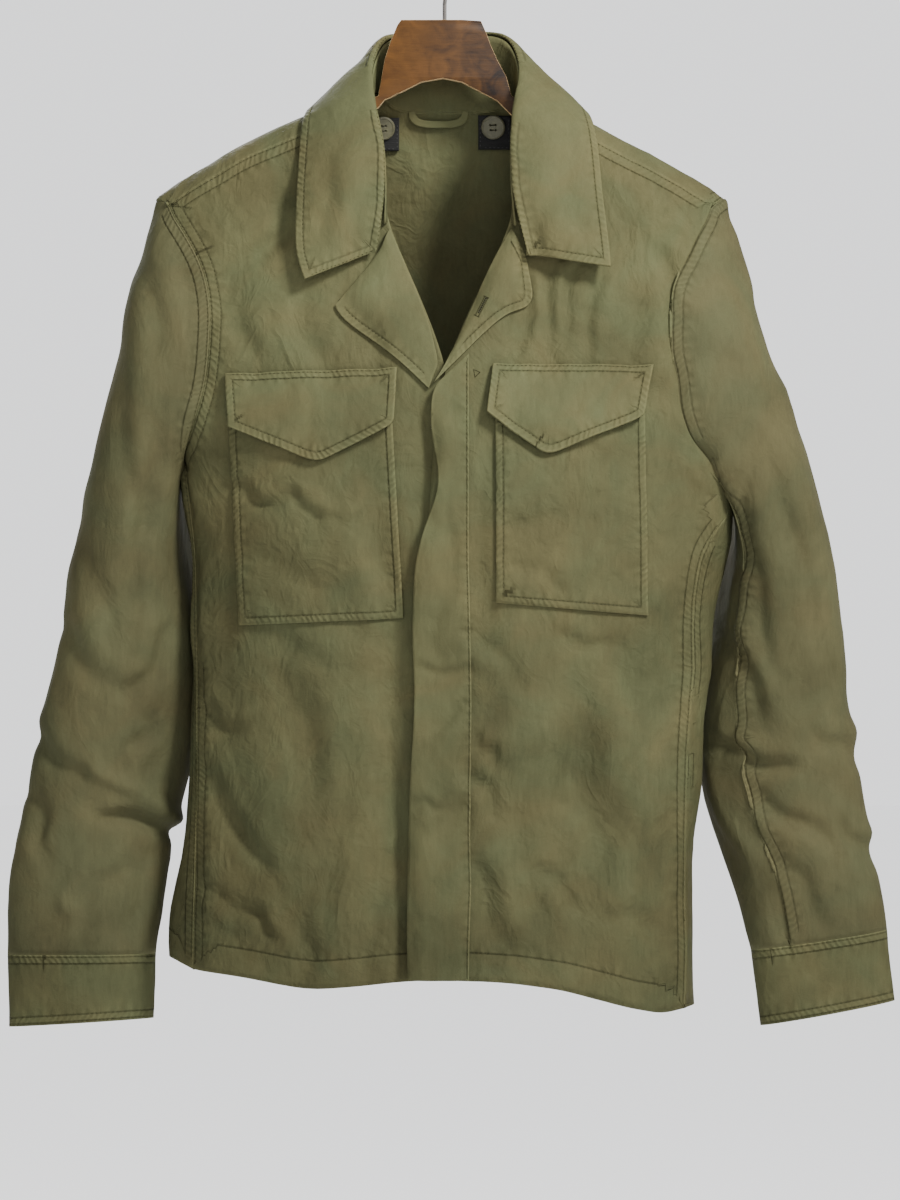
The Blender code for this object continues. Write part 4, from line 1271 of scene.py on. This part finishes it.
def dress_node(node: str, material: bpy.types.Material) -> None:
    """Give a solid of the frame a better finish."""
    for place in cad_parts[node].material_slots:
        place.material = material


# ---------------------------------------------------------------- the jacket's tables

# x0, drop0, x1, drop1, width, push and side of the ridge, as seen from the front.
FRONT_CREASES = Creases((
    (-186, 668, -144, 737, 7, -2.6, 1), (-194, 618, -168, 632, 6, -2.2, 1),
    (-194, 758, -152, 774, 6, -2.4, -1), (-150, 776, -134, 795, 5, -2.0, 1),
    (-40, 560, -34, 830, 9, -2.0, 1), (-108, 790, -110, 826, 10, -2.4, 0),
    (24, 557, 60, 592, 6, -1.8, -1), (97, 563, 135, 568, 6, -1.8, 1), (30, 645, 41, 656, 6, -2.6, 1),
    (24, 668, 41, 693, 7, -2.8, -1), (110, 643, 118, 725, 13, -2.6, 1),
    (82, 746, 108, 770, 7, -2.4, -1), (26, 742, 47, 795, 9, -2.8, 1), (131, 777, 166, 783, 6, -1.6, 1),
    (-16, 585, 22, 588, 4, -1.2, 1), (-2, 627, 20, 611, 4, -1.2, -1), (-18, 690, 0, 694, 4, -1.2, 1),
    (68, 276, 60, 338, 5, -1.5, 1), (85, 274, 82, 334, 5, -1.4, 1), (104, 272, 92, 330, 5, -1.5, -1),
    (122, 280, 111, 338, 5, -1.4, 1), (-122, 216, -132, 246, 9, -2.6, 1),
    (-136, 248, -178, 296, 10, -2.2, -1), (-163, 441, -141, 455, 5, -1.7, 1),
    (-141, 455, -116, 450, 5, -1.7, 1), (-116, 450, -100, 469, 5, -1.6, 1),
    (-100, 469, -70, 468, 5, -1.4, 1), (60, 470, 120, 455, 8, -1.2, 1), (55, 500, 90, 520, 7, -1.1, -1),
    (-120, 600, -95, 690, 12, -1.8, 1), (150, 590, 140, 700, 11, -1.6, -1),
    (60, 690, 75, 800, 12, -1.8, 1), (-75, 640, -85, 760, 11, -1.5, -1),
    (-150, 560, -70, 585, 8, -1.2, 1), (150, 700, 160, 820, 10, -1.8, 1),
    (-120, 590, -104, 800, 24, -2.0, 1), (96, 600, 112, 810, 26, -2.2, -1),
    (-172, 540, -166, 790, 16, -1.8, -1), (178, 560, 170, 800, 15, -1.8, 1),
    (-12, 398, -14, 462, 7, -1.8, 1), (6, 480, -6, 560, 9, -1.4, -1),
    (-46, 470, -34, 600, 12, -2.4, -1), (34, 420, 30, 560, 9, -1.6, 1),
    (-70, 300, -50, 352, 10, -1.6, 1), (-110, 300, -94, 356, 10, -1.4, -1),
    (146, 300, 158, 360, 11, -1.8, 1), (-160, 300, -150, 350, 9, -1.6, 1),
    (170, 262, 190, 340, 9, -1.8, 1), (60, 398, 118, 420, 9, -1.2, 1), (48, 540, 132, 520, 10, -1.1, 1),
    (-150, 500, -84, 520, 10, -1.3, -1), (-128, 420, -96, 398, 8, -1.0, 1),
    (-30, 700, -60, 812, 10, -1.6, 1), (-206, 392, -203, 545, 20, 3.6, 0),
    (224, 425, 228, 570, 22, 5.6, 0),
))
BACK_CREASES = Creases((
    (-150, 300, -80, 420, 12, -2.4, 1), (150, 310, 90, 430, 12, -2.4, -1),
    (-30, 200, -20, 330, 14, -1.6, 1), (40, 210, 34, 300, 12, -1.4, -1),
    (-110, 560, -60, 640, 10, -2.0, 1), (90, 600, 60, 720, 11, -2.2, -1),
    (-140, 700, -120, 810, 11, -2.4, 1), (0, 660, 8, 810, 12, -2.0, 1),
    (120, 690, 128, 820, 11, -2.0, -1), (-60, 450, 50, 470, 9, -1.2, 1),
    (-160, 480, -110, 560, 9, -1.8, -1), (150, 480, 110, 540, 9, -1.6, 1),
    (60, 360, -10, 400, 9, -1.2, -1), (-70, 740, -60, 825, 9, -1.8, -1),
    (165, 620, 140, 680, 8, -1.6, 1), (-206, 392, -203, 545, 20, 3.6, 0),
    (224, 425, 228, 570, 22, 5.6, 0),
))
RIGHT_SLEEVE_CREASES = Creases((
    (-264, 702, -211, 713, 6, -3.4, 1), (-272, 664, -214, 702, 6, 2.4, 0),
    (-320, 693, -316, 726, 6, -2.2, -1), (-297, 767, -293, 791, 7, 1.8, 0),
    (-262, 330, -236, 470, 10, -1.8, 1), (-226, 400, -240, 520, 9, -2.2, -1),
    (-300, 560, -262, 600, 9, -1.8, 1), (-215, 560, -240, 600, 7, -2.4, -1),
    (-325, 640, -290, 668, 7, -2.0, 1), (-232, 630, -250, 655, 6, -2.0, 1),
    (-250, 740, -285, 770, 8, -1.6, -1), (-228, 735, -250, 790, 7, -1.8, 1),
    (-235, 240, -228, 330, 9, -1.5, 1), (-285, 470, -262, 560, 9, -1.4, -1),
))
LEFT_SLEEVE_CREASES = Creases((
    (228, 231, 263, 362, 7, 2.2, 0), (210, 664, 239, 736, 7, 2.4, 0), (222, 650, 270, 664, 6, -2.8, 1),
    (262, 420, 292, 560, 9, -2.2, 1), (240, 500, 262, 590, 8, -2.2, -1),
    (300, 640, 330, 655, 7, -2.2, 1), (255, 690, 300, 720, 7, -2.4, -1),
    (318, 710, 338, 735, 6, -2.2, 1), (270, 740, 300, 782, 8, -1.8, 1),
    (250, 300, 262, 380, 8, -1.8, 1), (225, 560, 250, 620, 8, -2.2, 1),
    (305, 560, 318, 620, 9, -1.8, -1), (242, 430, 232, 500, 8, -1.8, 1),
))
COLLAR_CREASES = Creases((
    (-84, 180, -96, 240, 9, -1.2, 1), (96, 170, 104, 235, 10, -1.2, -1), (78, 225, 70, 255, 7, -1.4, 1),
    (-60, 210, -74, 250, 7, -1.2, -1), (-30, 120, -45, 150, 8, -1.2, 1),
    (30, 118, 48, 150, 8, -1.2, -1),
))

DOUBLE = 2.0        # wall of doubled cloth and tape, in millimetres
FIRST_PIECES = (
    ClothPiece("back", level=2, creases=BACK_CREASES, flat=(0.56, 0.745), cut=0.335),
    ClothPiece("front_right", creases=FRONT_CREASES, meets=("back",), flat=(0.265, 0.69), cut=0.126),
    ClothPiece("front_left", creases=FRONT_CREASES, meets=("back",), flat=(0.275, 0.7), cut=0.134),
)
# Pieces on the fronts: node, wall, width and length when flat, and flat area.
ON_FRONTS = (
    ("fly_placket", DOUBLE, (0.048, 0.49), 0.0198),
    ("lapel_right", DOUBLE, (0.082, 0.125), 0.0049),
    ("lapel_left", DOUBLE, (0.06, 0.12), 0.0029),
    ("pocket_right", 1.5, (0.136, 0.19), 0.0246),
    ("pocket_left", 1.5, (0.12, 0.187), 0.0217),
    ("flap_right", DOUBLE, (0.136, 0.075), 0.0078),
    ("flap_left", DOUBLE, (0.131, 0.073), 0.0071),
)
COLLAR_PIECES = (
    ClothPiece("collar_stand", level=2, rumple=0.4, meets=("back",), meets_within=5.0,
               flat=(0.45, 0.05), cut=0.0102),
    ClothPiece("collar_leaf", DOUBLE, creases=COLLAR_CREASES, rumple=1.0, flat=(0.5, 0.115), cut=0.0414),
)
# Sleeves: side, creases, flat size and area of the top sleeve, of the under sleeve and of the cuff.
SLEEVES = (
    ("right", RIGHT_SLEEVE_CREASES, (0.26, 0.63), 0.117, (0.1, 0.57), 0.045, (0.255, 0.058), 0.0143),
    ("left", LEFT_SLEEVE_CREASES, (0.26, 0.62), 0.115, (0.115, 0.47), 0.04, (0.257, 0.06), 0.0146),
)
SLEEVE_RUMPLE, SLEEVE_RUMPLE_SIZE, CUFF_RUMPLE = 2.2, 75.0, 0.8


def cloth_pieces() -> list[ClothPiece]:
    """List the cut pieces in the order of their sewing.

    Returns:
        The pieces; each comes after those that its edges meet.
    """
    pieces = list(FIRST_PIECES)
    pieces += [ClothPiece(node, wall, Form.FLAT, creases=FRONT_CREASES, flat=flat, cut=cut)
               for node, wall, flat, cut in ON_FRONTS]
    pieces += COLLAR_PIECES
    cuffs = []
    for side, creases, top_flat, top_cut, under_flat, under_cut, cuff_flat, cuff_cut in SLEEVES:
        top, under, body = f"sleeve_{side}_top", f"sleeve_{side}_under", (f"front_{side}", "back")
        soft = {"creases": creases, "rumple": SLEEVE_RUMPLE, "rumple_size": SLEEVE_RUMPLE_SIZE}
        pieces.append(ClothPiece(top, meets=body, meets_within=6.0, flat=top_flat, cut=top_cut, **soft))
        pieces.append(ClothPiece(under, meets=(top, *body), flat=under_flat, cut=under_cut, **soft))
        cuffs.append(ClothPiece(f"cuff_{side}", DOUBLE, creases=creases, rumple=CUFF_RUMPLE,
                                meets=(top, under), flat=cuff_flat, cut=cuff_cut))
    return pieces + cuffs


TABS = (
    ClothPiece("neck_tab_right", DOUBLE, Form.FLAT, rumple=0.3, flat=(0.024, 0.027), cut=0.0006),
    ClothPiece("neck_tab_left", DOUBLE, Form.FLAT, rumple=0.3, flat=(0.026, 0.028), cut=0.0007),
)

# Openings of the side pockets: the piece, the line where the shadow inside the opening is painted, and the
# tacks at its ends.
POCKET_OPENINGS = (
    ("front_left", ((199, 604), (200, 640), (198, 700), (194, 750), (193, 781)), ((199, 602), (193, 783))),
    ("front_right", ((-194, 617), (-195, 660), (-196, 720), (-195, 757)), ((-194, 616), (-195, 758))),
)

AROUND = (Side.RIGHT, Side.LEFT, Side.FRONT, Side.BACK)
HANGING = (Side.RIGHT, Side.LEFT, Side.DOWN)
HEM, EDGE, SEWN_DOWN = (22.0,), (1.6,), (6.0,)
ARMHOLE, OUTER = (1.6, 9.0), (150.0, 1000.0)


def both(node: str, sides: tuple[Side, ...], insets: tuple[float, ...], spread: float = 50.0) -> list[Seam]:
    """Sew a right and a left piece alike.

    Args:
        node: the pieces' name, with a gap for the side.
        sides: sides that their edges face.
        insets: millimetres from the edge to each row.
        spread: degrees that an edge may turn away from the side.

    Returns:
        The two seams.
    """
    return [Seam(node.format(side), sides, insets, spread) for side in ("right", "left")]


SEAMS = (
    *both("pocket_{}", HANGING, (5.8,)),
    *both("flap_{}", (Side.UP,), (1.4, 6.0)),
    *both("flap_{}", HANGING, SEWN_DOWN, 62.0),
    Seam("fly_placket", (Side.LEFT,), EDGE),
    *both("front_{}", (Side.DOWN,), HEM),
    Seam("back", (Side.DOWN,), HEM, 40.0),
    *both("front_{}", (Side.UP,), (1.6, 9.6)),
    Seam("front_right", (Side.RIGHT,), ARMHOLE, 55.0, OUTER),
    Seam("front_left", (Side.LEFT,), ARMHOLE, 55.0, OUTER),
    Seam("back", (Side.RIGHT, Side.LEFT), ARMHOLE, 55.0, OUTER),
    *both("sleeve_{}_top", AROUND, ARMHOLE),
    *both("cuff_{}", (Side.UP, Side.DOWN), (1.6, 7.0)),
    Seam("lapel_right", (Side.RIGHT, Side.UP, Side.DOWN), SEWN_DOWN, 52.0),
    Seam("lapel_left", (Side.LEFT, Side.UP, Side.DOWN), SEWN_DOWN, 52.0),
    Seam("collar_leaf", (Side.DOWN, Side.BACK), SEWN_DOWN, 46.0),
    Seam("collar_leaf", (Side.RIGHT, Side.LEFT), SEWN_DOWN, 50.0, (78.0, 1000.0)),
    *both("neck_tab_{}", HANGING, EDGE),
)
# Buttonholes of the left lapel: x and drop of both ends. Then the tack beside the neck, its corners.
BUTTONHOLES = (((34, 294), (26.5, 309)), ((18, 340), (11.5, 351)))
NECK_TACK = ((24, 351), (29, 353), (25, 357), (24, 351))


@dataclass
class Jacket:
    """The shirt jacket: its cut pieces, stitching and trim."""

    sateen: Sateen = Sateen("olive_sateen")
    # The sleeves' painted shade towards the bottom is a little weaker.
    sleeve_sateen: Sateen = Sateen("sleeve_sateen", (0.0034, 0.0035, 0.0018), (0.0420, 0.0430, 0.0215),
                                   (0.0465, 0.0422, 0.0205), fall=0.34, wrinkle=0.55)
    firm_sateen: Sateen = Sateen("firm_sateen", tone=0.84, wrinkle=0.5)
    thread: Thread = Thread("olive_thread")
    dark_thread: Thread = Thread("black_thread", (0.03, 0.03, 0.028))
    # near-black colour of the painted shadow inside the buttonholes and pocket openings
    slit: Thread = Thread("slit", (0.0016, 0.0016, 0.0009))
    close_thread: Thread = Thread("close_thread", (0.0110, 0.0105, 0.0030))
    button_thread: Thread = Thread("button_thread", (0.016, 0.015, 0.008))
    tack_half: float = 3.5      # half the tack at the end of a pocket's opening
    bar_half: float = 2.3       # half the bar at the end of a buttonhole
    lip: float = 1.3            # from a buttonhole's slit to the stitches beside it
    fly_buttons: int = 4
    pieces: dict[str, ClothPiece] = field(default_factory=dict)

    def build(self) -> None:
        """Make the cloth, then sew it."""
        plain, sleeve, firm = self.sateen.build(), self.sleeve_sateen.build(), self.firm_sateen.build()
        for piece in cloth_pieces():
            doubled = firm if piece.wall == DOUBLE else plain
            self.cut_out(piece, sleeve if piece.node.startswith("sleeve") else doubled, COTTON)
        HangerLoop().build(self.pieces["back"], firm)
        tape = Tape().build()
        for piece in TABS:
            self.cut_out(piece, tape, TAPE)
        self.sew()
        self.button_up()

    def cut_out(self, piece: ClothPiece, material: bpy.types.Material, slot: str) -> None:
        """Make one piece and keep it for the sewing.

        Args:
            piece: the piece.
            material: its finish.
            slot: handed on to the piece, which does not use it.
        """
        seams = [seam for seam in SEAMS if seam.node == piece.node]
        piece.build(material, slot, self.pieces, seams)
        self.pieces[piece.node] = piece
        LOG.info(piece.node)

    def sew(self) -> None:
        """Put in the rows of stitches, buttonholes and tacks, and the painted shadow along the pocket
        openings.
        """
        cotton, black = Stitching("stitches_olive"), Stitching("stitches_black")
        for seam in SEAMS:
            seam.sew(black if "tab" in seam.node else cotton, self.pieces[seam.node])
        close = Stitching("stitches_close", half_wide=0.34, rise=0.5)
        # Near-black strips standing on the cloth: painted shadow inside the buttonholes and the pocket
        # openings.
        slit_shadows = Stitching("slit_shadows", length=2.4, gap=-0.8, half_wide=0.8, rise=0.55)
        for start, end in BUTTONHOLES:
            self.buttonhole(close, slit_shadows, self.pieces["lapel_left"], start, end)
        for start, end in zip(NECK_TACK, NECK_TACK[1:]):
            close.purl(self.pieces["front_left"], start, end, 1.2, 0.6)
        for node, opening, tacks in POCKET_OPENINGS:
            slit_shadows.drawn(self.pieces[node], opening)
            for x, drop in tacks:
                first, last = (x - self.tack_half, drop), (x + self.tack_half, drop)
                close.purl(self.pieces[node], first, last, 2.4, 0.7)
        cotton.build(self.thread.build(), COTTON)
        slit_shadows.build(self.slit.build(), COTTON)
        close.build(self.close_thread.build(), COTTON)
        black.build(self.dark_thread.build(), TAPE)

    def buttonhole(self, thread: Stitching, slit_shadows: Stitching, cloth: ClothPiece,
                   start: Row, end: Row) -> None:
        """Work a buttonhole: a near-black strip that paints the shadow of its cut, two sides and two bars.

        Args:
            thread: takes the close stitches.
            slit_shadows: takes the slit.
            cloth: the piece.
            start: x and drop of one end.
            end: those of the other end.
        """
        slit_shadows.drawn(cloth, (start, end))
        ax, ad = heading(start, end)[1:]
        for side in (-self.lip, self.lip):
            thread.purl(cloth, (start[0] - ad * side, start[1] + ax * side),
                        (end[0] - ad * side, end[1] + ax * side), 2.0)
        across, down = ad * self.bar_half, ax * self.bar_half
        for x, drop in (start, end):
            thread.purl(cloth, (x - across, drop + down), (x + across, drop - down), 1.6, 0.6)

    def button_up(self) -> None:
        """Dress the buttons: the two that show have holes and thread."""
        resin = Resin().build()
        thread = Stitching("button_threads", half_wide=0.3, rise=0.5)
        for node in ("neck_button_right", "neck_button_left"):
            HoledButton(node).build(resin, thread)
        thread.build(self.button_thread.build(), RESIN)
        for number in range(1, self.fly_buttons + 1):
            dress_node(f"fly_button_{number}", resin)


# ---------------------------------------------------------------- studio


@dataclass(frozen=True)
class Lamp:
    """One soft area light: place and aim in metres, size and power."""

    name: str
    place: Row
    aim: Row
    size: float
    power: float
    color: Row = (1.0, 1.0, 1.0)

    def build(self) -> None:
        """Add the light."""
        light = bpy.data.lights.new(self.name, "AREA")
        light.shape, light.size, light.energy, light.color = "DISK", self.size, self.power, self.color
        lamp = bpy.data.objects.new(self.name, light)
        lamp.location = self.place
        lamp.rotation_euler = (Vector(self.aim) - Vector(self.place)).to_track_quat("-Z", "Y").to_euler()
        bpy.context.scene.collection.objects.link(lamp)


@dataclass
class Studio:
    """Camera at the photograph's angle, pale floor and soft light."""

    camera_place: Row = (0.0055, -6.04, -0.531)
    lens: float = 229.3
    floor_drop: float = 1500.0
    floor_size: float = 60.0
    floor_shade: float = 0.96
    ambient: Row = (1.50, 1.51, 1.53)
    lamps: tuple[Lamp, ...] = (
        Lamp("key", (2.0, -2.3, 2.1), (0.0, 0.0, -0.45), 0.9, 680.0, (1.0, 0.985, 0.96)),
        Lamp("fill", (0.2, -3.3, 0.5), (0.0, 0.0, -0.3), 1.2, 60.0),
        Lamp("rim", (-1.4, 3.2, 1.6), (0.0, 0.0, -0.4), 1.4, 240.0),
    )

    def build(self) -> None:
        """Set up the camera, the floor, the world and the lights."""
        scene = bpy.context.scene
        camera = bpy.data.cameras.new("camera")
        camera.lens, camera.clip_end = self.lens, 100.0
        eye = bpy.data.objects.new("camera", camera)
        eye.location, eye.rotation_euler = self.camera_place, (math.pi / 2, 0.0, 0.0)
        scene.collection.objects.link(eye)
        scene.camera = eye
        half, level = self.floor_size / 2, -self.floor_drop * MM
        mesh = bpy.data.meshes.new("floor")
        corners = [(x * half, y * half, level) for x, y in ((-1, -1), (1, -1), (1, 1), (-1, 1))]
        mesh.from_pydata(corners, [], [(0, 1, 2, 3)])
        matt = Shader("pale_floor").finish(base_color=(self.floor_shade,) * 3, roughness=0.95)
        mesh.materials.append(matt)
        floor = bpy.data.objects.new("floor", mesh)
        scene.collection.objects.link(floor)
        world = bpy.data.worlds.new("studio")
        world.use_nodes = True
        backdrop = world.node_tree.nodes["Background"]
        backdrop.inputs["Color"].default_value = (*self.ambient, 1.0)
        scene.world = world
        for lamp in self.lamps:
            lamp.build()


def main() -> None:
    """Build the pieces in order."""
    logging.basicConfig(level=logging.INFO, format="%(message)s")
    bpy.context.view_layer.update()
    Jacket().build()
    Hanger().build()
    Studio().build()
    bpy.context.view_layer.update()


if __name__ == "__main__":
    main()
